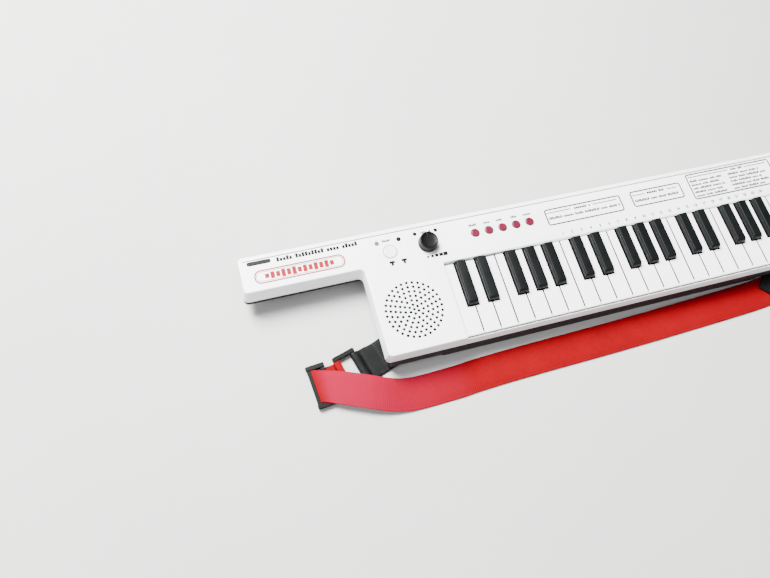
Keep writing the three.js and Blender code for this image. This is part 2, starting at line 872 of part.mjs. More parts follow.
// The hook that snaps over the chassis rod, open below
function hook(x) {
  const outer = rodRadius + rodClearance + hookWall;
  const block = box(x - hookWidth / 2, x + hookWidth / 2, hingeY - outer, hingeY + outer,
    keyUnder, whiteTop - keyEdge);
  const boreRadius = rodRadius + rodClearance;
  const bore = new THREE.CylinderGeometry(boreRadius, boreRadius, hookWidth * 2, boreSides);
  bore.rotateZ(Math.PI / 2);
  bore.translate(x, hingeY, hingeZ);
  const mouth = box(x - hookWidth, x + hookWidth, hingeY - rodRadius, hingeY + rodRadius,
    keyUnder - overrun, hingeZ);
  return { block, cut: solidFrom(bore).add(mouth) };
}

function whiteKey(place, blacks) {
  const left = place.left + keyGap / 2;
  const right = place.left + keyPitch - keyGap / 2;
  const notchFront = keyBack - blackLength - blackClearance;
  const half = blackWidth / 2 + blackClearance;
  const onLeft = blacks.find((tail) => Math.abs(tail - place.left) < keyPitch / 3);
  const onRight = blacks.find((tail) => Math.abs(tail - place.left - keyPitch) < keyPitch / 3);
  const rearLeft = onLeft === undefined ? left : onLeft + half;
  const rearRight = onRight === undefined ? right : onRight - half;
  const armBack = hingeY - rodRadius - rodClearance - hookWall + keyEdge;
  const outline = [
    new THREE.Vector2(left + keyEdge, keyFront),
    new THREE.Vector2(right - keyEdge, keyFront),
    new THREE.Vector2(right, keyFront + keyEdge),
    new THREE.Vector2(right, notchFront),
    new THREE.Vector2(rearRight, notchFront),
    new THREE.Vector2(rearRight, armBack),
    new THREE.Vector2(rearLeft, armBack),
    new THREE.Vector2(rearLeft, notchFront),
    new THREE.Vector2(left, notchFront),
    new THREE.Vector2(left, keyFront + keyEdge),
  ].filter((point, i, all) => i === 0 || !point.equals(all[i - 1]));
  const under = whiteTop - keyTopWall;
  const tail = THREE.MathUtils.clamp(place.tail, rearLeft + hookWidth / 2, rearRight - hookWidth / 2);
  const end = hook(tail);
  let key = raised(outline, keyUnder, whiteTop);
  const hollowFront = box(left + keyWall, right - keyWall, keyFront + keyWall, notchFront - keyWall,
    keyUnder - overrun, under);
  const hollowRear = box(rearLeft + keyWall, rearRight - keyWall, notchFront - keyWall - overrun,
    armBack + overrun, keyUnder - overrun, under);
  key = key.subtract(hollowFront).subtract(hollowRear).add(plunger(tail, whiteTop));
  const nose = drawnAlongX([
    [keyFront - overrun, whiteTop - keyEdge],
    [keyFront, whiteTop - keyEdge],
    [keyFront + keyEdge, whiteTop],
    [keyFront + keyEdge, whiteTop + overrun],
    [keyFront - overrun, whiteTop + overrun],
  ], left - overrun, right + overrun);
  return key.add(end.block).subtract(nose).subtract(end.cut);
}

// The rib that presses the rubber dome
function plunger(x, top) {
  const y = contactBoardY + contactBoardDepth / 2;
  return box(x - keyWall, x + keyWall, y - keyWall, y + keyWall, keyUnder + keyGap, top - keyEdge);
}

// A black key's sloping front, as shares of its slope's length and of its rise
const noseShares = [[0, 0.55], [0.4, 0.16], [1, 0]];

function blackKey(place) {
  const front = keyBack - blackLength;
  const back = keyBack - joinGap;
  const top = whiteTop + blackRise;
  const half = blackWidth / 2;
  const armBack = hingeY - rodRadius - rodClearance - hookWall + keyEdge;
  const section = (y, inset, height) => [
    new THREE.Vector3(place.tail - half, y, keyUnder + keyWall),
    new THREE.Vector3(place.tail + half, y, keyUnder + keyWall),
    new THREE.Vector3(place.tail + half, y, height - blackSide),
    new THREE.Vector3(place.tail + half - inset, y, height - blackShoulder),
    new THREE.Vector3(place.tail + half - inset - blackRound, y, height),
    new THREE.Vector3(place.tail - half + inset + blackRound, y, height),
    new THREE.Vector3(place.tail - half + inset, y, height - blackShoulder),
    new THREE.Vector3(place.tail - half, y, height - blackSide),
  ];
  const body = skinned([
    ...noseShares.map(([along, drop]) => section(
      front + blackSlope * along, keyEdge, top - blackRise * drop,
    )),
    section(back, keyEdge, top),
  ]);
  const end = hook(place.tail);
  const arm = box(place.tail - hookWidth / 2, place.tail + hookWidth / 2, back - overrun, armBack,
    keyUnder + keyWall, whiteTop - keyEdge);
  const hollow = box(place.tail - half + keyWall, place.tail + half - keyWall, front + blackSlope + keyWall,
    back - keyWall, keyUnder, top - keyTopWall);
  return joined([body.subtract(hollow), arm, end.block, plunger(place.tail, top)]).subtract(end.cut);
}

// A closed body through rings of equal point count
function skinned(rings) {
  const count = rings[0].length;
  const positions = rings.flat().flatMap((point) => [point.x, point.y, point.z]);
  const index = [];
  for (let k = 0; k + 1 < rings.length; k += 1) {
    for (let i = 0; i < count; i += 1) {
      const a = k * count + i;
      const b = k * count + ((i + 1) % count);
      index.push(a, b + count, b, a, a + count, b + count);
    }
  }
  const last = (rings.length - 1) * count;
  for (let i = 1; i + 1 < count; i += 1) {
    index.push(0, i, i + 1);
    index.push(last, last + i + 1, last + i);
  }
  const geometry = new THREE.BufferGeometry();
  geometry.setAttribute("position", new THREE.Float32BufferAttribute(positions, 3));
  geometry.setIndex(index);
  return solidFrom(geometry);
}

// Strap

// A flat band through stations, each a point with the heading of the band's width and its own width
function band(stations, thickness) {
  const rings = stations.map((station, i) => {
    const before = stations[Math.max(i - 1, 0)];
    const after = stations[Math.min(i + 1, stations.length - 1)];
    const along = new THREE.Vector3(after.x - before.x, after.y - before.y, after.z - before.z).normalize();
    const across = new THREE.Vector3(-Math.sin(station.heading), Math.cos(station.heading), 0);
    const up = new THREE.Vector3().crossVectors(along, across).normalize();
    const side = new THREE.Vector3().crossVectors(up, along).normalize();
    const centre = new THREE.Vector3(station.x, station.y, station.z);
    const corner = (a, b) => centre.clone()
      .addScaledVector(side, (a * (station.width ?? webbingWidth)) / 2)
      .addScaledVector(up, (b * thickness) / 2);
    return [corner(-1, -1), corner(-1, 1), corner(1, 1), corner(1, -1)];
  });
  return skinned(rings);
}

// Heights of the layers: webbing or tab under the frames, over the frames, and the run over all of it
const lowLayer = layGap + webbingThickness / 2;
const frameBottom = layGap * 2 + Math.max(webbingThickness, tabThickness);
const frameTop = frameBottom + frameThickness;
const highLayer = frameTop + layGap + webbingThickness / 2;
const overLayer = frameTop + layGap * 2 + tabThickness + webbingThickness / 2;
const tabLay = recessDepth - layGap - tabThickness / 2;

// Points from above a bar, round its left (-1) or right (+1) edge, to under it: u along the band, z up
function roundBar(edgeU, side, thickness) {
  const radius = layGap + thickness / 2;
  const corner = (z, from) => Array.from({ length: roundSteps + 1 }, (_, k) => {
    const angle = from - ((Math.PI / 2) * k) / roundSteps;
    return [edgeU + side * radius * Math.cos(angle), z + radius * Math.sin(angle)];
  });
  return [...corner(frameTop, Math.PI / 2), ...corner(frameBottom, 0)];
}

function placed(origin, heading, pairs) {
  return pairs.map(([u, z]) => ({
    x: origin.x + u * Math.cos(heading),
    y: origin.y + u * Math.sin(heading),
    z,
    heading,
  }));
}

const sliderMiddle = -sliderLength / 2 + frameBar + sliderSlot;
const ringPlace = { x: ringX, y: ringY };
const ringHeading = Math.atan2(pegY - ringY, pegX - ringX);
const sliderPlace = { x: sliderX, y: sliderY };

// The webbing: sewn round the ring's left bar, back under the slider, round its middle bar, then the long run
function strapStations() {
  const left = -ringLength / 2;
  const start = placed(ringPlace, ringHeading, [
    ...roundBar(left, -1, webbingThickness).slice(0, roundSteps + 2).reverse(),
    ...roundBar(left + frameBar, 1, webbingThickness),
    [left, lowLayer],
  ]);
  const fold = placed(sliderPlace, sliderHeading, [
    [sliderLength / 2, lowLayer],
    ...roundBar(sliderMiddle, -1, webbingThickness).reverse(),
    [sliderLength / 2, highLayer + layGap],
  ]);
  return [...start, ...fold, ...frontRun()];
}

// The long stretch in front of the keys, as shares: x of the body's length from its left side,
// y of the band's width, and the lift between lying on the floor and crossing the ring
function frontRun() {
  const shares = [
    [-0.089, -0.263, 1],
    [-0.059, -0.45, 1],
    [-0.036, -0.619, 0.98],
    [-0.012, -0.762, 0.68],
    [0.014, -0.875, 0.26],
    [0.049, -0.95, 0],
    [0.134, -0.969, 0],
    [0.228, -0.912, 0],
    [0.319, -0.881, 0],
    [0.429, -0.856, 0],
    [0.541, -0.819, 0],
    [0.685, -0.75, 0],
    [0.78, -0.697, 0],
    [0.846, -0.644, 0],
    [0.894, -0.556, 0],
  ];
  const length = bodyRight - bodyLeft;
  const points = shares.map(([along, out, lift]) => new THREE.Vector3(
    bodyLeft + along * length,
    out * webbingWidth,
    lowLayer + lift * (overLayer - lowLayer),
  ));
  const curve = new THREE.CatmullRomCurve3(points, false, "centripetal");
  return curve.getPoints(runSteps).map((point, k) => {
    const tangent = curve.getTangent(k / runSteps);
    return { x: point.x, y: point.y, z: point.z, heading: Math.atan2(tangent.y, tangent.x) };
  });
}

// A rectangular moulded frame that the webbing passes through, with or without a middle bar
function strapFrame(place, heading, length, middle) {
  const half = webbingWidth / 2 + frameSlack;
  const side = half + frameSideWall;
  const outer = rectanglePlan(-length / 2, length / 2, -side, side, frameBar / 2);
  let frame = raised(outer, frameBottom, frameTop);
  const left = -length / 2 + frameBar;
  const right = length / 2 - frameBar;
  const windows = middle === undefined ? [[left, right]] : [[left, middle], [middle + frameBar / 2, right]];
  for (const [from, to] of windows) {
    frame = frame.subtract(box(from, to, -half, half, frameBottom - overrun, frameTop + overrun));
  }
  return frame.rotate([0, 0, THREE.MathUtils.radToDeg(heading)]).translate([place.x, place.y, 0]);
}

// The black end piece: sewn round the ring's bar, tapering to a round end with a hole for the peg
function leftTab() {
  const edge = ringLength / 2 - frameBar;
  const reach = Math.hypot(pegX - ringX, pegY - ringY);
  const low = frameBottom - layGap - tabThickness / 2;
  const flap = low + tabThickness + layGap;
  const outer = ringLength / 2 + tabThickness;
  const stations = [...placed(ringPlace, ringHeading, [
    [outer + tabFlap, flap],
    [outer + tabThickness, flap],
    [ringLength / 2, frameTop + layGap + tabThickness / 2],
    ...roundBar(edge, -1, tabThickness),
    [reach - tabTaper - tabEndRadius, low],
    [reach - tabTaper, tabLay],
  ]), ...tabEnd(ringPlace, ringHeading, reach)];
  return band(stations, tabThickness).subtract(pegHole(pegX));
}

// Narrowing stations round the peg, over this share of a quarter turn
const tabEndShare = 0.9;

function tabEnd(origin, heading, reach) {
  return Array.from({ length: arcSteps + 1 }, (_, k) => {
    const angle = (Math.PI / 2) * (k / arcSteps) * tabEndShare;
    const [station] = placed(origin, heading, [[reach + tabEndRadius * Math.sin(angle), tabLay]]);
    return { ...station, width: 2 * tabEndRadius * Math.cos(angle) };
  });
}

function pegHole(x) {
  return cylinder(x, pegY, pegRadius + pegHoleClearance, -overrun, recessDepth + overrun, smallSides);
}

// The other end piece, sewn on top of the webbing's right end; it rises to the peg between these shares
const tabFlatShare = 0.4;
const tabRiseShare = 0.65;

function rightTab() {
  const run = frontRun();
  const end = run[run.length - 2];
  const pegAt = { x: bodyRight - rightPegFromEnd, y: pegY };
  const heading = Math.atan2(pegAt.y - end.y, pegAt.x - end.x);
  const reach = Math.hypot(pegAt.x - end.x, pegAt.y - end.y);
  const lay = lowLayer + (webbingThickness + tabThickness) / 2 + layGap;
  const wide = placed(end, heading, [
    [-tabEndRadius / 2, lay],
    [reach * tabFlatShare, lay],
    [reach * tabRiseShare, tabLay],
  ]).map((station) => ({ ...station, width: rightTabWidth }));
  return band([...wide, ...tabEnd(end, heading, reach)], tabThickness).subtract(pegHole(pegAt.x));
}

// Assembly

const keytar = new THREE.Group();
const parts = new THREE.Group();
parts.position.set(-(bodyLeft + bodyRight) / 2, -housingDepth / 2, 0);
keytar.add(parts);

function addPart(name, solid, finish) {
  const mesh = new THREE.Mesh(geometryFrom(solid), new THREE.MeshStandardMaterial(finish));
  mesh.name = name;
  parts.add(mesh);
}

addPart("top_shell", topShell(), white);
addPart("bottom_shell", bottomShell(), darkGrey);
addPart("battery_cover", batteryCover(), darkGrey);
addPart("speaker", speaker(), black);
addPart("volume_pot", volumePot(), steel);
addPart("volume_knob", volumeKnob(), black);
addPart("power_button", powerButton(), white);
addPart("power_switch", powerSwitch(), black);
addPart("main_board", mainBoard(), boardGreen);
addPart("contact_board", contactBoard(), boardGreen);
addPart("contact_strip", contactStrip(), rubberGrey);
addPart("key_chassis", keyChassis(), darkGrey);
buttonPlaces().forEach((x, i) => addPart(`function_button_${i + 1}`, functionButton(x), red));

const places = keyPlaces();
const blackTails = places.filter(({ kind }) => kind === "black").map(({ tail }) => tail);
let whiteNumber = 0;
let blackNumber = 0;
for (const place of places) {
  if (place.kind === "white") {
    whiteNumber += 1;
    addPart(`white_key_${String(whiteNumber).padStart(2, "0")}`, whiteKey(place, blackTails), keyWhite);
  } else {
    blackNumber += 1;
    addPart(`black_key_${String(blackNumber).padStart(2, "0")}`, blackKey(place), keyBlack);
  }
}

addPart("strap_webbing", band(strapStations(), webbingThickness), webbingRed);
addPart("strap_slider", strapFrame(sliderPlace, sliderHeading, sliderLength, sliderMiddle), black);
addPart("strap_ring", strapFrame(ringPlace, ringHeading, ringLength), black);
addPart("strap_tab_left", leftTab(), black);
addPart("strap_tab_right", rightTab(), black);

export default keytar;
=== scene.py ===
"""A 37-key keytar lying on a pale floor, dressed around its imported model.

Lengths in the tables below are in millimetres, from the first white key's left edge (x), the housing's front edge (y)
and the flat underside (z). They turn into the frame's metres in at().
"""

import math

import bpy
import numpy as np
from mathutils import Matrix, Vector


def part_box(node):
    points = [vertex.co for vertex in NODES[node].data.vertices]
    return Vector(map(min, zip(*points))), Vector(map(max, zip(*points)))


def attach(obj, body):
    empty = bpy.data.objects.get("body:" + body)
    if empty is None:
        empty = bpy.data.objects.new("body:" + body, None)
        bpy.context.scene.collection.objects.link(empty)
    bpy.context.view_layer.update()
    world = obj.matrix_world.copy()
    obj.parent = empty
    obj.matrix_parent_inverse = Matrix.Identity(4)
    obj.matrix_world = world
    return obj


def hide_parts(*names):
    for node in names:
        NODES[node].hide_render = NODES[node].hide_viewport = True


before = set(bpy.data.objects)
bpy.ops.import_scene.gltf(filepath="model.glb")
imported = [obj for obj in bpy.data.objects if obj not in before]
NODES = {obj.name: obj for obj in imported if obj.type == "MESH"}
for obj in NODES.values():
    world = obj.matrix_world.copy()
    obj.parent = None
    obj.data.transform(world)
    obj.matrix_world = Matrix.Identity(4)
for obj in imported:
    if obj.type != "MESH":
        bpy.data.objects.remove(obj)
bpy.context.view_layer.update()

MM = 0.001
KEYBOARD_ORIGIN = Vector((-168.0, -63.0, 0.0))
TOP = 34.0
INK = 0.05


def at(x, y, z):
    """A place on the instrument, given in millimetres, in the frame's metres."""
    return (Vector((x, y, z)) + KEYBOARD_ORIGIN) * MM


# Camera, floor and light


def aim_camera(target, azimuth, elevation, roll, distance, lens):
    a, e, r = (math.radians(angle) for angle in (azimuth, elevation, roll))
    forward = Vector((-math.sin(a) * math.cos(e), math.cos(a) * math.cos(e), -math.sin(e)))
    right = Vector((math.cos(a), math.sin(a), 0))
    down = forward.cross(right)
    turned_right = right * math.cos(r) + down * math.sin(r)
    turned_down = down * math.cos(r) - right * math.sin(r)
    turn = Matrix((turned_right, -turned_down, -forward)).transposed()
    data = bpy.data.cameras.new("camera")
    data.lens = lens
    data.clip_start = 0.01
    camera = bpy.data.objects.new("camera", data)
    camera.matrix_world = Matrix.Translation(target - forward * distance) @ turn.to_4x4()
    bpy.context.scene.collection.objects.link(camera)
    bpy.context.scene.camera = camera


def area_light(name, place, target, size, power, colour):
    data = bpy.data.lights.new(name, "AREA")
    data.shape = "RECTANGLE"
    data.size, data.size_y = size
    data.energy = power
    data.color = colour
    lamp = bpy.data.objects.new(name, data)
    lamp.location = place
    lamp.rotation_euler = (target - place).to_track_quat("-Z", "Y").to_euler()
    bpy.context.scene.collection.objects.link(lamp)


# Shader maths


class Wire:
    """A socket's value, with the arithmetic that a material's patterns need."""

    def __init__(self, finish, socket):
        self.finish = finish
        self.socket = socket

    def maths(self, operation, *others, flipped=False):
        values = (*others, self) if flipped else (self, *others)
        return self.finish.node("ShaderNodeMath", {"operation": operation}, values)

    def __add__(self, other):
        return self.maths("ADD", other)

    def __radd__(self, other):
        return self.maths("ADD", other)

    def __sub__(self, other):
        return self.maths("SUBTRACT", other)

    def __rsub__(self, other):
        return self.maths("SUBTRACT", other, flipped=True)

    def __mul__(self, other):
        return self.maths("MULTIPLY", other)

    def __rmul__(self, other):
        return self.maths("MULTIPLY", other)

    def __gt__(self, other):
        return self.maths("GREATER_THAN", other)

    def sine(self):
        return self.maths("SINE")


class Finish:
    """A node-built material. Its shader takes plain numbers on its own sockets and patterns on a few."""

    def __init__(self, name, **plain):
        self.material = bpy.data.materials.new(name)
        self.material.use_nodes = True
        self.tree = self.material.node_tree
        self.shader = self.tree.nodes["Principled BSDF"]
        for socket, value in plain.items():
            self.shader.inputs[socket.replace("_", " ")].default_value = value

    def node(self, kind, settings=None, values=(), output=0):
        made = self.tree.nodes.new(kind)
        for key, value in (settings or {}).items():
            if key == "stops":
                self.set_stops(made.color_ramp, value)
            else:
                setattr(made, key, value)
        pairs = values.items() if isinstance(values, dict) else enumerate(values)
        for key, value in pairs:
            if isinstance(value, Wire):
                self.tree.links.new(value.socket, made.inputs[key])
            else:
                made.inputs[key].default_value = value
        return Wire(self, made.outputs[output])

    @staticmethod
    def set_stops(ramp, stops):
        while len(ramp.elements) < len(stops):
            ramp.elements.new(1.0)
        for element, (place, colour) in zip(ramp.elements, stops):
            element.position = place
            element.color = (*colour, 1.0)

    def place(self):
        return self.node("ShaderNodeTexCoord", output="Object")

    def stretched(self, scale):
        """Object coordinates, squeezed along some axes, for streaks."""
        return self.node("ShaderNodeMapping", {}, {"Vector": self.place(), "Scale": scale})

    def noise(self, scale, detail=3.0, where=None):
        return self.node("ShaderNodeTexNoise", {}, {"Vector": where or self.place(), "Scale": scale, "Detail": detail})

    def creases(self, scale):
        settings = {"feature": "DISTANCE_TO_EDGE"}
        return self.node("ShaderNodeTexVoronoi", settings, {"Vector": self.place(), "Scale": scale}, "Distance")

    def ramp(self, factor, stops):
        return self.node("ShaderNodeValToRGB", {"stops": stops}, {"Fac": factor})

    def spread(self, value, low, high, to_low, to_high):
        return self.node("ShaderNodeMapRange", {}, (value, low, high, to_low, to_high))

    def blend(self, factor, first, second):
        """Two colours, mixed by a factor."""
        settings = {"data_type": "RGBA"}
        return self.node("ShaderNodeMix", settings, {0: factor, 6: first, 7: second}, 2)

    def drive(self, socket, wire):
        self.tree.links.new(wire.socket, self.shader.inputs[socket])

    def bump(self, height, depth):
        values = {"Height": height, "Distance": depth, "Strength": 1.0}
        self.drive("Normal", self.node("ShaderNodeBump", {}, values))


def moulded(name, light, dark, roughness, grain_scale, grain_depth, low=None, **plain):
    """Injection-moulded plastic: a faint drift of colour, uneven gloss, handling marks and a fine grain.

    low is (top height, foot height, foremost y, colour) of the painted shade in the gaps beside a piece: behind the
    foremost y, its walls darken to that colour from the top height down to the foot height.
    """
    finish = Finish(name, **plain)
    drift = finish.noise(14.0, 2.0)
    handled = finish.noise(55.0, 5.0)
    tone = drift * 0.75 + handled * 0.25
    colour = finish.ramp(tone, [(0.35, dark), (0.65, light)])
    if low:
        # Painted shade: the walls below the top height are darkened, as if shaded in the gaps beside the piece.
        height = finish.node("ShaderNodeSeparateXYZ", {}, (finish.place(),), "Z")
        behind = finish.node("ShaderNodeSeparateXYZ", {}, (finish.place(),), "Y") > low[2] * MM
        foot = finish.spread(height, low[0] * MM, low[1] * MM, 0.0, 1.0) * behind
        colour = finish.blend(foot, colour, (*low[3], 1.0))
    finish.drive("Base Color", colour)
    fine = finish.noise(210.0, 4.0)
    finish.drive("Roughness", finish.spread(fine * 0.5 + handled * 0.5, 0.35, 0.65, *roughness))
    finish.bump(finish.noise(grain_scale), grain_depth)
    return finish.material


def ink(name, colour):
    """Pad-printed ink, a little uneven in tone and gloss."""
    finish = Finish(name, Specular_IOR_Level=0.08)
    cover = finish.noise(900.0, 3.0)
    thin = tuple(c * 1.3 + 0.001 for c in colour)
    finish.drive("Base Color", finish.ramp(cover, [(0.3, colour), (0.75, thin)]))
    finish.drive("Roughness", finish.spread(cover, 0.3, 0.7, 0.4, 0.55))
    return finish.material


def woven(name, deep, body, lit, sheen_pink):
    """Ribbed webbing: the ribs are in the mesh; here come the yarns that cross them, their fuzz, and a painted sheen
    that turns the front layer pinker along part of its length.
    """
    finish = Finish(name, Specular_IOR_Level=0.04)
    uv = finish.node("ShaderNodeUVMap", {"uv_map": "weave"})
    across = finish.node("ShaderNodeSeparateXYZ", {}, (uv,), "X")
    along = finish.node("ShaderNodeSeparateXYZ", {}, (uv,), "Y")
    warp = (across * (2 * math.pi / 0.8)).sine()
    weft = (along * (2 * math.pi / RIB_PITCH)).sine()
    fuzz = finish.noise(320.0, 4.0)
    wear = finish.noise(26.0, 2.0)
    shade = warp * 0.08 + weft * 0.16 + fuzz * 0.35 + wear * 0.25 + 0.2
    dyed = finish.ramp(shade, [(0.15, deep), (0.5, body), (0.85, lit)])
    # Painted sheen: past its first stretch the front layer is blended towards pink, which thins out further along.
    front = finish.spread(along, 48.0, 60.0, 0.0, 0.8)
    painted_sheen = finish.spread(along + wear * 60.0, 110.0, 240.0, 1.0, 0.0) * front
    finish.drive("Base Color", finish.blend(painted_sheen, dyed, (*sheen_pink, 1.0)))
    finish.drive("Roughness", finish.spread(fuzz, 0.3, 0.7, 0.7, 0.88))
    finish.bump(warp * 0.5 + fuzz * 0.5, 0.00010)
    return finish.material


def grained(name, dark, light):
    """Leatherette: shallow pebbled grain, glossier on its high spots."""
    finish = Finish(name, Specular_IOR_Level=0.09)
    pebble = finish.spread(finish.creases(1100.0), 0.0, 0.1, 0.0, 1.0)
    tone = finish.noise(70.0, 3.0)
    finish.drive("Base Color", finish.ramp(tone, [(0.3, dark), (0.7, light)]))
    finish.drive("Roughness", finish.spread(tone * 0.5 + pebble * 0.5, 0.3, 0.8, 0.6, 0.42))
    finish.bump(pebble, 0.00010)
    return finish.material


def circuit():
    finish = Finish("circuit_board_green")
    values = {
        "Vector": finish.place(), "Scale": 160.0, "Mortar Size": 0.03,
        "Color1": (0.02, 0.12, 0.05, 1), "Color2": (0.025, 0.15, 0.06, 1), "Mortar": (0.03, 0.2, 0.08, 1),
    }
    finish.drive("Base Color", finish.node("ShaderNodeTexBrick", {"offset": 0.5}, values))
    finish.drive("Roughness", finish.spread(finish.noise(90.0), 0.3, 0.7, 0.3, 0.45))
    return finish.material


def bare_metal(name, colour, roughness):
    finish = Finish(name, Metallic=0.9)
    streak = finish.noise(60.0, 3.0, finish.stretched((1.0, 1.0, 12.0)))
    dull = tuple(c * 0.8 for c in colour)
    finish.drive("Base Color", finish.ramp(streak, [(0.3, dull), (0.7, colour)]))
    finish.drive("Roughness", finish.spread(streak, 0.3, 0.7, roughness, roughness + 0.15))
    return finish.material


RIB_PITCH = 2.0

SHELL_WHITE = moulded("shell_white", (0.81, 0.84, 0.842), (0.775, 0.80, 0.803), (0.32, 0.42), 2600.0, 0.00002)
SHELL_DARK = moulded("shell_dark", (0.014, 0.011, 0.0125), (0.010, 0.008, 0.009), (0.48, 0.62), 1500.0, 0.00005,
                     Specular_IOR_Level=0.2)
# The white keys' last setting paints shade onto their side walls in the gaps between keys.
KEY_WHITE = moulded("key_white", (0.85, 0.845, 0.865), (0.82, 0.815, 0.835), (0.2, 0.3), 700.0, 0.00001,
                    (30.98, 30.92, -58.5, (0.008, 0.008, 0.009)), Coat_Weight=0.2)
KEY_BLACK = moulded("key_black", (0.0026, 0.0034, 0.0036), (0.0016, 0.0022, 0.0024), (0.4, 0.52), 1800.0, 0.00002,
                    Specular_IOR_Level=0.1)
FITTING_BLACK = moulded("fitting_black", (0.0028, 0.0028, 0.003), (0.0016, 0.0016, 0.0018), (0.36, 0.48),
                        1600.0, 0.00003, Specular_IOR_Level=0.08)
BUTTON_RED = moulded("button_red", (0.086, 0.004, 0.019), (0.072, 0.003, 0.015), (0.26, 0.38), 1400.0, 0.00002,
                    Specular_IOR_Level=0.3)
BUTTON_WHITE = moulded("button_white", (0.72, 0.74, 0.75), (0.69, 0.71, 0.72), (0.25, 0.35), 1800.0, 0.00001)
# Painted shade: the grey of the ring drawn round the power button's gap.
GAP_SHADE_GREY = moulded("gap_shade_grey", (0.42, 0.43, 0.43), (0.38, 0.39, 0.39), (0.4, 0.5), 1400.0, 0.00002)
CONTACT_GREY = moulded("contact_grey", (0.2, 0.2, 0.21), (0.16, 0.16, 0.17), (0.6, 0.75), 900.0, 0.00003)
# Painted shade for the speaker holes: near black, lining their walls and rims.
GRILLE_SHADE = moulded("grille_shade_dark", (0.003, 0.004, 0.008), (0.002, 0.003, 0.005), (0.5, 0.65), 900.0, 0.00003,
                      Specular_IOR_Level=0.1)
SPEAKER_DARK = moulded("speaker_dark", (0.02, 0.02, 0.02), (0.012, 0.012, 0.012), (0.55, 0.7), 500.0, 0.0001)
# The webbing's last colour is a painted sheen, laid pinker along the front layer towards the left.
WEBBING = woven("webbing_red", (0.085, 0.0, 0.001), (0.135, 0.0, 0.002), (0.19, 0.0005, 0.004), (0.21, 0.003, 0.024))
THREAD = ink("thread_black", (0.012, 0.012, 0.013))
TAB_BLACK = grained("leatherette_black", (0.0015, 0.0018, 0.002), (0.004, 0.0044, 0.0046))
BOARD = circuit()
POT_METAL = bare_metal("pot_metal", (0.62, 0.62, 0.63), 0.3)
SCREW_STEEL = bare_metal("screw_steel", (0.42, 0.42, 0.43), 0.32)
INK_BLACK = ink("ink_black", (0.0015, 0.0015, 0.002))
INK_GREY = ink("ink_grey", (0.06, 0.065, 0.07))
INK_RED = ink("ink_red", (0.17, 0.0, 0.006))

# Each node's finish, and the record's slot that it comes from
NODE_FINISHES = {
    "top_shell": (SHELL_WHITE, "white_plastic"),
    "bottom_shell": (SHELL_DARK, "dark_plastic"),
    "battery_cover": (SHELL_DARK, "dark_plastic"),
    "speaker": (SPEAKER_DARK, "speaker_metal"),
    "volume_pot": (POT_METAL, "pot_metal"),
    "volume_knob": (FITTING_BLACK, "black_plastic"),
    "power_button": (BUTTON_WHITE, "white_plastic"),
    "power_switch": (FITTING_BLACK, "black_plastic"),
    "main_board": (BOARD, "board"),
    "contact_board": (BOARD, "board"),
    "contact_strip": (CONTACT_GREY, "contact_rubber"),
    "key_chassis": (SHELL_DARK, "dark_plastic"),
    "strap_webbing": (WEBBING, "webbing"),
    "strap_slider": (FITTING_BLACK, "black_plastic"),
    "strap_ring": (FITTING_BLACK, "black_plastic"),
    "strap_tab_left": (TAB_BLACK, "tab_leatherette"),
    "strap_tab_right": (TAB_BLACK, "tab_leatherette"),
}
KIND_FINISHES = {
    "white_key": (KEY_WHITE, "key_white"),
    "black_key": (KEY_BLACK, "key_black"),
    "function_button": (BUTTON_RED, "red_plastic"),
}
MOVING = ("white_key", "black_key", "function_button", "power_button", "volume_knob")


def finish_of(name):
    kind = next((kind for kind in KIND_FINISHES if name.startswith(kind)), None)
    return KIND_FINISHES[kind] if kind else NODE_FINISHES[name]


def body_of_node(name):
    return name if name.startswith(MOVING) else "housing"


for name, node in NODES.items():
    node.data.materials.clear()
    node.data.materials.append(finish_of(name)[0])

# Modelling helpers


def only(*objects):
    bpy.ops.object.select_all(action="DESELECT")
    for piece in objects:
        piece.select_set(True)
    bpy.context.view_layer.objects.active = objects[0]


def shaping(piece, wanted=None, mode="FACE"):
    """Opens a piece's mesh with all of it selected, or the faces that wanted() picks."""
    only(piece)
    bpy.ops.object.mode_set(mode="EDIT")
    bpy.ops.mesh.select_mode(type=mode)
    bpy.ops.mesh.select_all(action="SELECT" if wanted is None else "DESELECT")
    if wanted:
        bpy.ops.object.mode_set(mode="OBJECT")
        for face in piece.data.polygons:
            face.select = wanted(face)
        bpy.ops.object.mode_set(mode="EDIT")


def shaped(piece):
    bpy.ops.object.mode_set(mode="OBJECT")
    return piece


def modified(piece, kind, **settings):
    modifier = piece.modifiers.new(kind.lower(), kind)
    for key, value in settings.items():
        setattr(modifier, key, value)
    only(piece)
    bpy.ops.object.modifier_apply(modifier=modifier.name)


def softened(piece, bevel=0.0, segments=2, smooth=35.0):
    """Rounded edges where asked, then smooth shading that keeps flat faces flat."""
    if bevel:
        modified(piece, "BEVEL", width=bevel * MM, segments=segments, limit_method="ANGLE",
                 angle_limit=math.radians(40), use_clamp_overlap=True)
    only(piece)
    bpy.ops.object.shade_smooth_by_angle(angle=math.radians(smooth))
    modified(piece, "WEIGHTED_NORMAL", keep_sharp=True)
    return piece


def fitted(piece, name, material, body, replaces=()):
    piece.name = name
    piece.data.name = name
    piece.data.materials.clear()
    piece.data.materials.append(material)
    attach(piece, body)
    if replaces:
        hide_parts(*replaces)
    return piece


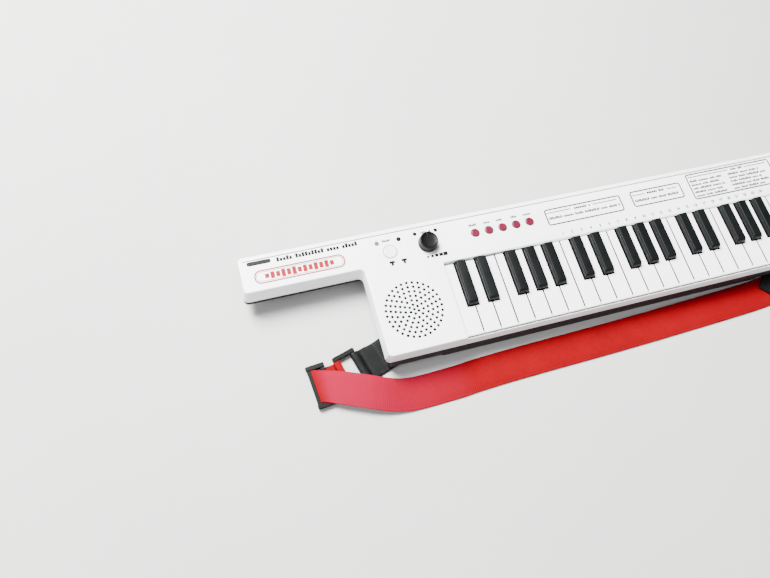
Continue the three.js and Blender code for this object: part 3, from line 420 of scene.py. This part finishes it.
def rimmed(piece, height, width, segments):
    """Rounds only the rim of a flat top, which the small edges under a piece would otherwise keep sharp."""
    mesh = piece.data
    tops = [face for face in mesh.polygons if face.normal.z > 0.99 and face.center.z > (height - 0.05) * MM]
    keys = [key for face in tops for key in face.edge_keys]
    rim = {key for key in keys if keys.count(key) == 1}
    for vertex in mesh.vertices:
        vertex.select = any(vertex.index in key for key in rim)
    for face in mesh.polygons:
        face.select = False
    for edge in mesh.edges:
        edge.select = edge.key in rim
    bpy.context.tool_settings.mesh_select_mode = (False, True, False)
    only(piece)
    bpy.ops.object.mode_set(mode="EDIT")
    bpy.ops.mesh.bevel(offset=width * MM, segments=segments, affect="EDGES", clamp_overlap=False)
    bpy.ops.object.mode_set(mode="OBJECT")
    bpy.context.tool_settings.mesh_select_mode = (True, False, False)


def dressed(node_name, bevel=0.0, segments=2, smooth=35.0, clean=True, rim=None):
    """A merged copy of a node, with softer edges, that stands for it."""
    piece = bpy.data.objects.new(node_name + "_dressed", NODES[node_name].data.copy())
    bpy.context.scene.collection.objects.link(piece)
    shaping(piece)
    bpy.ops.mesh.remove_doubles(threshold=2e-6)
    if clean:
        bpy.ops.mesh.dissolve_limited(angle_limit=math.radians(1))
    shaped(piece)
    if rim:
        rimmed(piece, *rim)
    softened(piece, bevel, segments, smooth)
    material, slot = finish_of(node_name)
    return fitted(piece, node_name + "_dressed", material, body_of_node(node_name), [node_name])


def turned(profile, centre, sides):
    """A round piece drawn up ring by ring from the cap at its foot: (radius, height) rows, in millimetres."""
    (first, height), *rows = profile
    spot = at(*centre, height)
    bpy.ops.object.select_all(action="DESELECT")
    bpy.ops.mesh.primitive_circle_add(vertices=sides, radius=first * MM, fill_type="NGON", location=spot)
    piece = bpy.context.object
    only(piece)
    bpy.ops.object.transform_apply(location=True)
    shaping(piece)
    radius = first
    for next_radius, next_height in rows:
        rise = (next_height - height) * MM
        bpy.ops.mesh.extrude_region_move(TRANSFORM_OT_translate={"value": (0, 0, rise)})
        share = next_radius / radius
        bpy.ops.transform.resize(value=(share, share, 1), center_override=(spot.x, spot.y, 0))
        radius, height = next_radius, next_height
    bpy.ops.mesh.select_all(action="SELECT")
    bpy.ops.mesh.normals_make_consistent(inside=False)
    return shaped(piece)


def slab(x0, x1, y0, y1, z0, z1, corner=0.0, steps=4):
    """A plate with rounded corners, raised from a plane."""
    bpy.ops.object.select_all(action="DESELECT")
    bpy.ops.mesh.primitive_plane_add(size=MM, location=at((x0 + x1) / 2, (y0 + y1) / 2, z0))
    piece = bpy.context.object
    piece.scale = (x1 - x0, y1 - y0, 1)
    only(piece)
    bpy.ops.object.transform_apply(location=True, scale=True)
    shaping(piece, mode="VERT")
    if corner:
        bpy.ops.mesh.bevel(offset=corner * MM, segments=steps, affect="VERTICES")
        bpy.ops.mesh.select_all(action="SELECT")
    bpy.ops.mesh.extrude_region_move(TRANSFORM_OT_translate={"value": (0, 0, (z1 - z0) * MM)})
    bpy.ops.mesh.select_all(action="SELECT")
    bpy.ops.mesh.normals_make_consistent(inside=False)
    return shaped(piece)


def outlined(x0, x1, y0, y1, corner, line, steps=6):
    """A printed outline: a rounded plate of ink with its middle taken out."""
    return opened(slab(x0, x1, y0, y1, TOP, TOP + INK, corner, steps), line)


def opened(piece, line):
    """A plate with its middle taken out, so that a rim of one width is left."""
    shaping(piece, lambda face: abs(face.normal.z) > 0.9)
    bpy.ops.mesh.inset(thickness=line * MM)
    bpy.ops.mesh.bridge_edge_loops()
    bpy.ops.mesh.select_all(action="SELECT")
    bpy.ops.mesh.normals_make_consistent(inside=False)
    return shaped(piece)


def repeated(master, matrices):
    """Copies of a master, each with its own mesh, joined into one piece. The master goes."""
    copies = []
    for matrix in matrices:
        mesh = master.data.copy()
        mesh.transform(matrix)
        copy = bpy.data.objects.new(master.name, mesh)
        bpy.context.scene.collection.objects.link(copy)
        copies.append(copy)
    bpy.data.objects.remove(master)
    return joined(copies)


def joined(pieces):
    only(*pieces)
    if len(pieces) > 1:
        bpy.ops.object.join()
    return pieces[0]


# Housing


def dress_housing():
    dressed("top_shell", smooth=40.0, clean=False)
    dressed("bottom_shell", smooth=22.0, clean=False)
    dressed("battery_cover", 0.35)
    # A dark strip laid in the groove along the back edge: painted shade of the seam.
    seam_shade = slab(-189.0, 410.0, 120.95, 121.85, 33.5, 34.0, 0.4, 3)
    softened(seam_shade)
    fitted(seam_shade, "seam_shade_line", INK_BLACK, "housing")


GRILLE = (-42.3, 39.4)
GRILLE_RINGS = 6
GRILLE_STEP = 4.55


def grille_places():
    """One hole in the middle, then rings that each have five holes more than the one inside them."""
    places = []
    for ring in range(GRILLE_RINGS + 1):
        count = 5 * ring + 1
        for i in range(count):
            angle = math.pi / 2 - 2 * math.pi * i / count
            radius = ring * GRILLE_STEP
            places.append((GRILLE[0] + radius * math.cos(angle), GRILLE[1] + radius * math.sin(angle)))
    return places


def grille_shade_sleeves():
    """Dark sleeves that line the speaker holes, each with a thin flange and a deep pit: painted shade, darkening the
    hole walls and a thin ring of shell around each hole.
    """
    profile = [(0.78, 31.9), (0.78, 34.0), (1.52, 34.0), (1.49, 34.05), (0.78, 34.02), (0.6, 32.4)]
    master = turned(profile, (0, 0), 12)
    matrices = [Matrix.Translation(Vector((x, y, 0)) * MM) for x, y in grille_places()]
    sleeves = repeated(master, matrices)
    softened(sleeves)
    fitted(sleeves, "grille_shade_sleeves", GRILLE_SHADE, "housing")


# Keys


WHITE_TOP = 31.0
WHITE_RIM = 0.5


def dress_keys():
    for name in NODES:
        if name.startswith("white_key"):
            dressed(name, 0.0, 3, 40.0, rim=(WHITE_TOP, WHITE_RIM, 3))
        elif name.startswith("black_key"):
            dressed(name, 0.3, 2, 40.0)


# Controls

BUTTONS = [41.5 + 15 * i for i in range(5)]
CONTROLS_Y = 103.1
POWER = (-48.4, 101.8)
KNOB = (-9.5, 102.3)


def function_buttons():
    profile = [
        (1.6, 27.9), (1.6, 30.5), (5.7, 30.5), (5.7, 31.5), (4.4, 31.5), (4.4, 34.45), (4.3, 34.85), (4.05, 35.12),
        (3.7, 35.25), (3.2, 35.28), (2.4, 35.24), (1.0, 35.2),
    ]
    for i, x in enumerate(BUTTONS):
        name = f"function_button_{i + 1}"
        button = softened(turned(profile, (x, CONTROLS_Y), 48), smooth=50.0)
        fitted(button, name + "_dressed", BUTTON_RED, name, [name])


def power_button():
    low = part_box("power_button")[0][2] / MM
    profile = [
        (1.6, low), (1.6, 30.5), (7.7, 30.5), (7.7, 31.5), (6.4, 31.5), (6.4, 33.9), (6.3, 34.3), (6.0, 34.52),
        (5.5, 34.6), (4.6, 34.6), (3.6, 34.52), (1.5, 34.48),
    ]
    button = softened(turned(profile, POWER, 56), smooth=50.0)
    fitted(button, "power_button_dressed", BUTTON_WHITE, "power_button", ["power_button"])


def volume_knob():
    """A dished knob: a wide skirt, a slow taper, a rounded rim and a raised pointer on its hollow face."""
    profile = [
        (9.3, 34.7), (9.85, 34.9), (9.9, 35.3), (9.9, 36.4), (9.7, 36.8), (9.45, 37.2), (9.15, 41.9), (9.0, 42.5),
        (8.7, 42.87), (8.3, 43.0), (7.85, 42.93), (7.4, 42.6), (6.6, 42.25), (4.4, 42.0), (1.2, 41.95),
    ]
    knob = softened(turned(profile, KNOB, 72), smooth=50.0)
    pointer = softened(slab(KNOB[0] - 0.55, KNOB[0] + 0.55, KNOB[1] + 2.6, KNOB[1] + 8.2, 41.8, 42.95, 0.45), 0.2)
    knob = joined([knob, pointer])
    fitted(knob, "volume_knob_dressed", FITTING_BLACK, "volume_knob", ["volume_knob"])


def power_gap_shade():
    # A grey ring on the shell around the power button: painted shade of the gap round the button.
    gap_ring = opened(turned([(7.55, 33.9), (7.55, 34.12)], POWER, 56), 0.75)
    softened(gap_ring)
    fitted(gap_ring, "power_gap_shade", GAP_SHADE_GREY, "housing")


# Prints on the white shell


def rubber_stamp(rows):
    """One bar of ink, laid at every (middle x, middle y, width, height) row."""
    master = slab(-0.5, 0.5, -0.5, 0.5, TOP, TOP + INK, 0.12, 2)
    master.data.transform(Matrix.Translation(-at(0, 0, 0)))
    matrices = [
        Matrix.Translation(at(x, y, 0)) @ Matrix.Diagonal((width, height, 1, 1))
        for x, y, width, height in rows
    ]
    return repeated(master, matrices)


LETTER_HEIGHTS = (1.0, 0.72, 0.72, 1.0, 0.72, 0.72, 0.72, 1.0, 0.72)
WORD_LENGTHS = (5, 7, 4, 8, 6, 5, 9, 4)


def greeked(x0, x1, y, height, seed=0):
    """A line of made-up text as rows of ink ticks: words of unlike lengths, with tall and short letters."""
    rows = []
    x, word = x0, seed
    pitch = height * 0.66
    while x < x1 - pitch:
        for letter in range(WORD_LENGTHS[word % len(WORD_LENGTHS)]):
            if x > x1 - pitch:
                break
            tall = LETTER_HEIGHTS[(letter * 3 + word * 5) % len(LETTER_HEIGHTS)] * height
            rows.append((x + pitch / 2, y - (height - tall) / 2, pitch * 0.84, tall))
            x += pitch
        x += pitch * 0.9
        word += 1
    return rows


def numerals(rows, height):
    """Generic numbers, cut as flat letters and raised by the ink's thickness."""
    pieces = []
    for text, x, y in rows:
        bpy.ops.object.select_all(action="DESELECT")
        bpy.ops.object.text_add(location=at(x, y, TOP + INK / 2))
        number = bpy.context.object
        number.data.body = text
        number.data.size = height * MM
        number.data.align_x = "CENTER"
        number.data.align_y = "CENTER"
        number.data.extrude = INK / 2 * MM
        number.data.resolution_u = 3
        number.data.offset = 0.0002
        only(number)
        bpy.ops.object.convert(target="MESH")
        bpy.ops.object.transform_apply(location=True)
        pieces.append(number)
    return joined(pieces)


def dot(x, y, radius):
    return turned([(radius, TOP), (radius, TOP + INK)], (x, y), 20)


def print_panel():
    black, grey, red = [], [], []
    bars = []

    # Power and volume
    bars += greeked(-53.6, -43.0, 114.0, 2.4)
    black.append(dot(-36.7, 113.1, 2.4))
    grey.append(dot(-59.1, 112.9, 2.4))
    bars += greeked(-13.6, -2.2, 115.0, 2.4, 2)
    black.append(dot(-19.4, 114.9, 2.0))
    black.append(dot(2.4, 114.8, 2.0))
    for i, size in enumerate((1.3, 1.7, 2.1, 2.5, 2.9)):
        bars.append((-13.4 + 4.55 * i, 88.2, size * 1.4 + 0.5, size * 1.2 + 0.5))
    for x in (-49.6, -37.3):
        bars.append((x, 90.6, 5.6, 2.6))
        bars.append((x, 88.0, 2.4, 2.6))

    # Labels over the five buttons
    for i, x in enumerate(BUTTONS):
        half = 4.0 if i % 2 else 5.0
        bars += greeked(x + 0.4 - half, x + 0.4 + half, 112.0, 2.6, i)

    # The three panels of lists
    black.append(outlined(120.3, 209.0, 93.7, 112.4, 3.0, 1.45))
    bars += [(136.2, 108.0, 28.5, 1.0), (190.0, 108.0, 29.3, 1.0)]
    bars += greeked(154.0, 174.0, 108.2, 3.2, 1)
    bars += greeked(122.7, 206.0, 101.7, 2.9, 3)
    black.append(outlined(221.0, 283.0, 94.4, 113.0, 3.0, 1.45))
    bars += [(230.8, 108.0, 15.7, 1.0), (271.6, 108.0, 12.7, 1.0)]
    bars += greeked(241.0, 263.0, 108.6, 3.2, 4)
    bars += greeked(224.0, 280.0, 101.4, 2.9, 6)
    black.append(outlined(293.0, 401.0, 88.5, 119.6, 3.0, 1.45))
    bars += [(321.0, 115.6, 52.0, 1.0), (382.0, 115.6, 28.0, 1.0)]
    bars += greeked(350.0, 367.0, 115.8, 2.9, 2)
    for row in range(5):
        y = 110.6 - 4.5 * row
        bars += greeked(296.0, 338.0 - 5 * (row % 2), y, 2.7, row)
        bars += greeked(344.0, 392.0 - 7 * ((row + 1) % 2), y, 2.7, row + 3)

    # Along the neck: a dark pill, a line of text and a plain rounded badge with a row of bars
    black.append(slab(-185.5, -162.5, 115.9, 120.3, TOP, TOP + INK, 2.0, 6))
    bars += greeked(-157.5, -73.0, 117.6, 4.7, 5)
    red.append(outlined(-181.0, -93.5, 96.3, 110.2, 6.2, 1.35, 12))
    red.append(outlined(-179.0, -95.5, 98.3, 108.2, 4.3, 0.55, 12))
    levels = (4.6, 7.0, 5.6, 8.0, 6.4, 8.0, 5.2, 7.2, 5.8, 7.6, 6.2, 7.4, 5.0)
    red.append(rubber_stamp([(-169.0 + 5.2 * i, 103.25, 3.9, level) for i, level in enumerate(levels)]))

    # Numbers over the keys of the upper two octaves
    tails = []
    for octave in (1, 2):
        start = octave * 126.0
        tails += [start + 10.8 * (i + 0.5) for i in range(5)]
        tails += [start + 54.0 + 72 / 7 * (i + 0.5) for i in range(7)]
    black.append(numerals([(str(i + 1), x, 82.9) for i, x in enumerate(tails)], 4.0))
    black.append(rubber_stamp([(x, 80.6, 0.5, 0.9) for x in tails]))
    black.append(rubber_stamp(bars))

    for name, pieces, material in (("black", black, INK_BLACK), ("grey", grey, INK_GREY), ("red", red, INK_RED)):
        fitted(joined(pieces), f"panel_print_{name}", material, "housing")


# Screws under the housing

SCREWS = [
    (-70.5, 118.5), (10.64, 118.5), (144.2, 118.5), (277.7, 118.5), (406.5, 118.5), (-70.5, 68.8), (406.5, 68.8),
    (-6.4, 11.25),
]


def screws():
    """Pan-head screws deep in their wells, each with a cross recess."""
    head = turned([(2.2, 7.9), (2.7, 7.6), (2.9, 7.0), (2.9, 6.6), (2.6, 6.15), (2.0, 5.95), (0.9, 5.9)], (0, 0), 24)
    for wide, deep in ((2.8, 0.6), (0.6, 2.8)):
        cutter = slab(-wide / 2, wide / 2, -deep / 2, deep / 2, 5.4, 6.9)
        modified(head, "BOOLEAN", object=cutter, operation="DIFFERENCE", solver="EXACT")
        bpy.data.objects.remove(cutter)
    matrices = [Matrix.Translation(Vector((x, y, 0)) * MM) for x, y in SCREWS]
    matrices.append(Matrix.Translation(Vector((-178.0, 108.0, 9.6)) * MM))
    heads = repeated(head, matrices)
    softened(heads, smooth=30.0)
    fitted(heads, "housing_screws", SCREW_STEEL, "housing")


# Strap

# The webbing's middle line: x, y, height and the heading of its width's normal, from the sewn end at the ring
WEBBING_LINE = [
    (-121.59, -1.78, 2.4, 0.276), (-121.59, -1.78, 5.2, 0.276), (-121.46, -1.75, 5.72, 0.276),
    (-121.09, -1.64, 6.11, 0.276), (-120.58, -1.5, 6.25, 0.276), (-117.31, -0.57, 6.25, 0.276),
    (-116.81, -0.43, 6.11, 0.276), (-116.44, -0.32, 5.72, 0.276), (-116.3, -0.29, 5.2, 0.276),
    (-116.3, -0.29, 2.4, 0.276), (-116.44, -0.32, 1.88, 0.276), (-116.81, -0.43, 1.49, 0.276),
    (-117.31, -0.57, 1.35, 0.276), (-120.58, -1.5, 1.05, 0.276), (-134.03, -3.24, 1.05, 0.09),
    (-145.99, -4.31, 1.35, 0.09), (-146.51, -4.36, 1.49, 0.09), (-146.9, -4.39, 1.88, 0.09),
    (-147.04, -4.4, 2.4, 0.09), (-147.04, -4.4, 5.2, 0.09), (-146.9, -4.39, 5.72, 0.09),
    (-146.51, -4.36, 6.11, 0.09), (-145.99, -4.31, 6.25, 0.09), (-140.2, -5.9, 6.5, 0.04),
    (-134.3, -8, 6.95, -0.02), (-126.1, -11, 8.1, -0.13), (-118.6, -13.9, 8.36, -0.22), (-108.7, -18, 8.36, -0.3),
    (-103.2, -20.3, 8.38, -0.335), (-97.9, -22.5, 8.2, -0.355), (-91.6, -25, 7.4, -0.35),
    (-85.3, -27.3, 6.35, -0.325), (-79, -29.2, 5, -0.28), (-71.5, -30.9, 3.4, -0.2), (-62.7, -32.1, 2.1, -0.13),
    (-50.79, -32.6, 1.1, -0.06), (-38.2, -32.5, 0.95, -0.017), (-24.13, -32.1, 0.98, 0.01),
    (-10.02, -31.6, 1.05, 0.025), (4.61, -30.5, 1.05, 0.044), (19.44, -29.79, 1.05, 0.048),
    (34.18, -29.18, 1.05, 0.031), (48.33, -28.8, 1.05, 0.024), (62.38, -28.5, 1.05, 0.019),
    (76.83, -28.23, 1.05, 0.018), (93.32, -27.96, 1.05, 0.014), (128.11, -27.48, 1.05, 0.016),
    (162.63, -26.82, 1.05, 0.021), (200.71, -25.86, 1.05, 0.029), (246.91, -24.41, 1.05, 0.033),
    (281.4, -23.24, 1.05, 0.035), (308.95, -22.17, 1.05, 0.042), (329.91, -21.2, 1.05, 0.059),
    (339.38, -20.51, 1.05, 0.091), (347.1, -19.68, 1.05, 0.121), (354.47, -18.73, 1.05, 0.131),
    (361.85, -17.79, 1.05, 0.119),
]
WEBBING_WIDTH = 32.0
FRAME_LOW, FRAME_HIGH = 2.4, 5.2
RING = (-110.0, 1.5)
RING_LENGTH = 22.0
SLIDER = (-142.5, -4.0)
SLIDER_HEADING = 0.09
SLIDER_LENGTH = 17.0
FRAME_INSIDE = 16.8
FRAME_OUTSIDE = 20.0
PEG_LEFT = (-50.0, 18.5)
PEG_RIGHT = (392.0, 18.5)
TAB_LAY = 5.0


def smooth_line(rows, step):
    """Rows of x, y, z and more, as one flowing line sampled at even steps of its length."""
    points = np.array(rows, dtype=float)
    points = np.vstack([2 * points[0] - points[1], points, 2 * points[-1] - points[-2]])
    dense = []
    for p0, p1, p2, p3 in zip(points, points[1:], points[2:], points[3:]):
        knots = [0.0]
        for a, b in ((p0, p1), (p1, p2), (p2, p3)):
            knots.append(knots[-1] + max(float(np.linalg.norm(b[:3] - a[:3])), 1e-6) ** 0.5)
        t0, t1, t2, t3 = knots
        for t in np.linspace(t1, t2, 16, endpoint=False):
            a1 = ((t1 - t) * p0 + (t - t0) * p1) / (t1 - t0)
            a2 = ((t2 - t) * p1 + (t - t1) * p2) / (t2 - t1)
            a3 = ((t3 - t) * p2 + (t - t2) * p3) / (t3 - t2)
            b1 = ((t2 - t) * a1 + (t - t0) * a2) / (t2 - t0)
            b2 = ((t3 - t) * a2 + (t - t1) * a3) / (t3 - t1)
            dense.append(((t2 - t) * b1 + (t - t1) * b2) / (t2 - t1))
    dense.append(points[-2])
    dense = np.array(dense)
    reach = np.concatenate([[0.0], np.cumsum(np.linalg.norm(np.diff(dense[:, :3], axis=0), axis=1))])
    wanted = np.linspace(0.0, reach[-1], max(int(reach[-1] / step), 2) + 1)
    return np.stack([np.interp(wanted, reach, dense[:, k]) for k in range(dense.shape[1])], axis=1), wanted


def strip(name, line, lengths, section):
    """A closed strip along a line. section(length, row) gives its cross-section as (across, up) pairs."""
    vertices, faces, weave = [], [], []
    ahead = np.gradient(line[:, :3], axis=0)
    count = 0
    for row, length, along in zip(line, lengths, ahead):
        along = Vector(along).normalized()
        side = Vector((-math.sin(row[3]), math.cos(row[3]), 0))
        up = along.cross(side).normalized()
        pairs = section(length, row)
        count = len(pairs)
        middle = at(*row[:3])
        for u, v in pairs:
            vertices.append(middle + (side * u + up * v) * MM)
            weave.append((u, length))
    rings = len(line)
    for k in range(rings - 1):
        for i in range(count):
            a, b = k * count + i, k * count + (i + 1) % count
            faces.append((a, b, b + count, a + count))
    faces.append(tuple(range(count - 1, -1, -1)))
    faces.append(tuple((rings - 1) * count + i for i in range(count)))
    mesh = bpy.data.meshes.new(name)
    mesh.from_pydata([tuple(v) for v in vertices], [], faces)
    layer = mesh.uv_layers.new(name="weave")
    for loop in mesh.loops:
        layer.data[loop.index].uv = weave[loop.vertex_index]
    piece = bpy.data.objects.new(name, mesh)
    bpy.context.scene.collection.objects.link(piece)
    shaping(piece)
    bpy.ops.mesh.normals_make_consistent(inside=False)
    return shaped(piece)


def webbing_section(length, row):
    """Flat woven band: ribs across the middle, a thin groove and a rounded cord at each edge."""
    rib = 0.5 - 0.5 * math.cos(2 * math.pi * length / RIB_PITCH)
    flat = 0.55 + 0.16 * rib
    edge = 0.66
    half = WEBBING_WIDTH / 2
    right = [(half, 0.0), (half - 0.15, 0.42), (half - 0.8, edge), (half - 1.5, 0.5), (half - 2.1, flat)]
    top = [*right, (half * 0.45, flat), (0.0, flat), (-half * 0.45, flat)]
    top += [(-u, v) for u, v in reversed(right)]
    return top + [(-u, -v) for u, v in top[1:-1]]


def make_webbing():
    line, lengths = smooth_line(WEBBING_LINE, RIB_PITCH / 4)
    webbing = strip("webbing", line, lengths, webbing_section)
    only(webbing)
    bpy.ops.object.shade_smooth_by_angle(angle=math.radians(60))
    fitted(webbing, "webbing", WEBBING, "housing", ["strap_webbing"])
    return lengths[-1]


def tab_section(length, row):
    """Two layers of leatherette, pressed thinner at the rounded edge."""
    half = max(row[4] / 2, 0.6)
    inner = max(half - 1.6, 0.3)
    right = [(half, 0.0), (half - 0.12, 0.5), (half - 0.5, 0.78), (inner, 0.84)]
    top = [*right, (0.0, 0.88)]
    top += [(-u, v) for u, v in reversed(right)]
    return top + [(-u, -v) for u, v in top[1:-1]]


def on_heading(origin, heading, rows):
    """(reach, height, width) rows along a heading, as rows of x, y, z, heading and width."""
    return [
        (origin[0] + u * math.cos(heading), origin[1] + u * math.sin(heading), z, heading, width)
        for u, z, width in rows
    ]


def tab_end(reach):
    rows = []
    for k in range(9):
        angle = math.pi / 2 * k / 8 * 0.94
        rows.append((reach + 11 * math.sin(angle), TAB_LAY, 22 * math.cos(angle)))
    return rows


def stitched(line, inset, pitch):
    """Thread stitches along both edges of a strip, lying in its surface."""
    middle, lengths = smooth_line(line, pitch)
    ahead = np.gradient(middle[:, :3], axis=0)
    matrices = []
    for row, along in zip(middle[1:-1], ahead[1:-1]):
        if row[4] < 12:
            continue
        along = Vector(along).normalized()
        across = Vector((-math.sin(row[3]), math.cos(row[3]), 0))
        up = along.cross(across).normalized()
        side = up.cross(along).normalized()
        turn = Matrix((along, side, up)).transposed().to_4x4()
        for edge in (-1, 1):
            spot = at(*row[:3]) + (side * edge * (row[4] / 2 - inset) + up * 0.84) * MM
            matrices.append(Matrix.Translation(spot) @ turn)
    master = slab(-1.0, 1.0, -0.28, 0.28, 0, 0.16, 0.25, 3)
    master.data.transform(Matrix.Translation(-at(0, 0, 0)))
    return repeated(master, matrices)


def make_tab(name, line, peg):
    smooth, lengths = smooth_line(line, 1.0)
    tab = strip(name, smooth, lengths, tab_section)
    bore = turned([(3.7, -2.0), (3.7, 12.0)], peg, 28)
    modified(tab, "BOOLEAN", object=bore, operation="DIFFERENCE", solver="EXACT")
    bpy.data.objects.remove(bore)
    softened(tab, smooth=50.0)
    fitted(tab, name, TAB_BLACK, "housing", ["strap_" + name])
    thread = stitched(line, 2.3, 3.2)
    fitted(thread, name + "_stitches", THREAD, "housing")


def strap_frame(name, centre, heading, length):
    """A moulded frame, with a thicker rounded shoulder over each end that the webbing leaves free."""
    frame_piece = dressed(name, 0.5, 3, 40.0)
    shoulders = []
    for side in (-1, 1):
        near, far = sorted((side * (FRAME_INSIDE - 0.5), side * (FRAME_OUTSIDE + 0.9)))
        shoulder = slab(-length / 2 - 0.7, length / 2 + 0.7, near, far, 1.5, 5.9, 1.3, 5)
        shoulder.data.transform(Matrix.Translation(-at(0, 0, 0)))
        shoulder.data.transform(Matrix.Translation(at(*centre, 0)) @ Matrix.Rotation(heading, 4, "Z"))
        shoulders.append(softened(shoulder, 0.6, 3))
        shoulder.data.materials.append(frame_piece.data.materials[0])
    joined([frame_piece, *shoulders])


def make_strap():
    make_webbing()
    heading = math.atan2(PEG_LEFT[1] - RING[1], PEG_LEFT[0] - RING[0])
    strap_frame("strap_ring", RING, heading, RING_LENGTH)
    strap_frame("strap_slider", SLIDER, SLIDER_HEADING, SLIDER_LENGTH)
    width = WEBBING_WIDTH
    reach = math.hypot(PEG_LEFT[0] - RING[0], PEG_LEFT[1] - RING[1])
    over, under = FRAME_HIGH + 1.2, FRAME_LOW - 1.2
    fold = []
    for centre, start in ((FRAME_HIGH, math.pi / 2), (FRAME_LOW, 0)):
        for k in range(4):
            angle = start - math.pi / 2 * k / 3
            fold.append((7.6 - 1.2 * math.cos(angle), centre + 1.2 * math.sin(angle), width))
    rows = [(22.8, 3.3, width), (18.6, 3.3, width), (14.6, 3.3, width), (11.0, over, width), *fold,
            (reach - 36, under, width), (reach - 31, under, width), (reach - 20, TAB_LAY, width), *tab_end(reach)]
    make_tab("tab_left", on_heading(RING, heading, rows), PEG_LEFT)
    end = WEBBING_LINE[-2]
    heading = math.atan2(PEG_RIGHT[1] - end[1], PEG_RIGHT[0] - end[0])
    reach = math.hypot(PEG_RIGHT[0] - end[0], PEG_RIGHT[1] - end[1])
    rows = [(-5.5, 3.0, 24.0), (reach * 0.2, 3.0, 24.0), (reach * 0.4, 3.0, 24.0), (reach * 0.65, TAB_LAY, 24.0),
            *tab_end(reach)]
    make_tab("tab_right", on_heading(end, heading, rows), PEG_RIGHT)


# Scene

aim_camera(at(-64.05, 65.41, 34.0), -33.456, 67.502, -19.018, 0.63637, 31.239)

dress_housing()
grille_shade_sleeves()
dress_keys()
function_buttons()
power_button()
volume_knob()
power_gap_shade()
print_panel()
screws()
make_strap()

bpy.ops.object.select_all(action="DESELECT")
bpy.ops.mesh.primitive_plane_add(size=14, location=(0, 0, -0.0002))
floor = bpy.context.object
floor.name = "floor"
floor_finish = Finish("floor_pale")
mottle = floor_finish.noise(3.0)
floor_finish.drive("Base Color", floor_finish.ramp(mottle, [(0.3, (0.42, 0.416, 0.412)), (0.7, (0.45, 0.445, 0.44))]))
floor_finish.drive("Roughness", floor_finish.spread(floor_finish.noise(40.0), 0.3, 0.7, 0.8, 0.9))
floor.data.materials.append(floor_finish.material)

world = bpy.data.worlds.new("studio")
bpy.context.scene.world = world
world.use_nodes = True
world.node_tree.nodes["Background"].inputs["Color"].default_value = (0.93, 0.95, 1.0, 1)
world.node_tree.nodes["Background"].inputs["Strength"].default_value = 0.32
area_light("key_light", Vector((-0.7, 0.9, 1.5)), Vector((0, 0, 0)), (0.8, 0.8), 280, (1.0, 0.99, 0.97))
area_light("left_fill", Vector((-1.9, -0.3, 1.2)), Vector((0, 0, 0)), (1.2, 1.2), 30, (0.96, 0.98, 1.0))
area_light("front_fill", Vector((0.5, -1.7, 0.9)), Vector((0, 0, 0)), (1.6, 0.8), 14, (1.0, 0.9, 0.89))
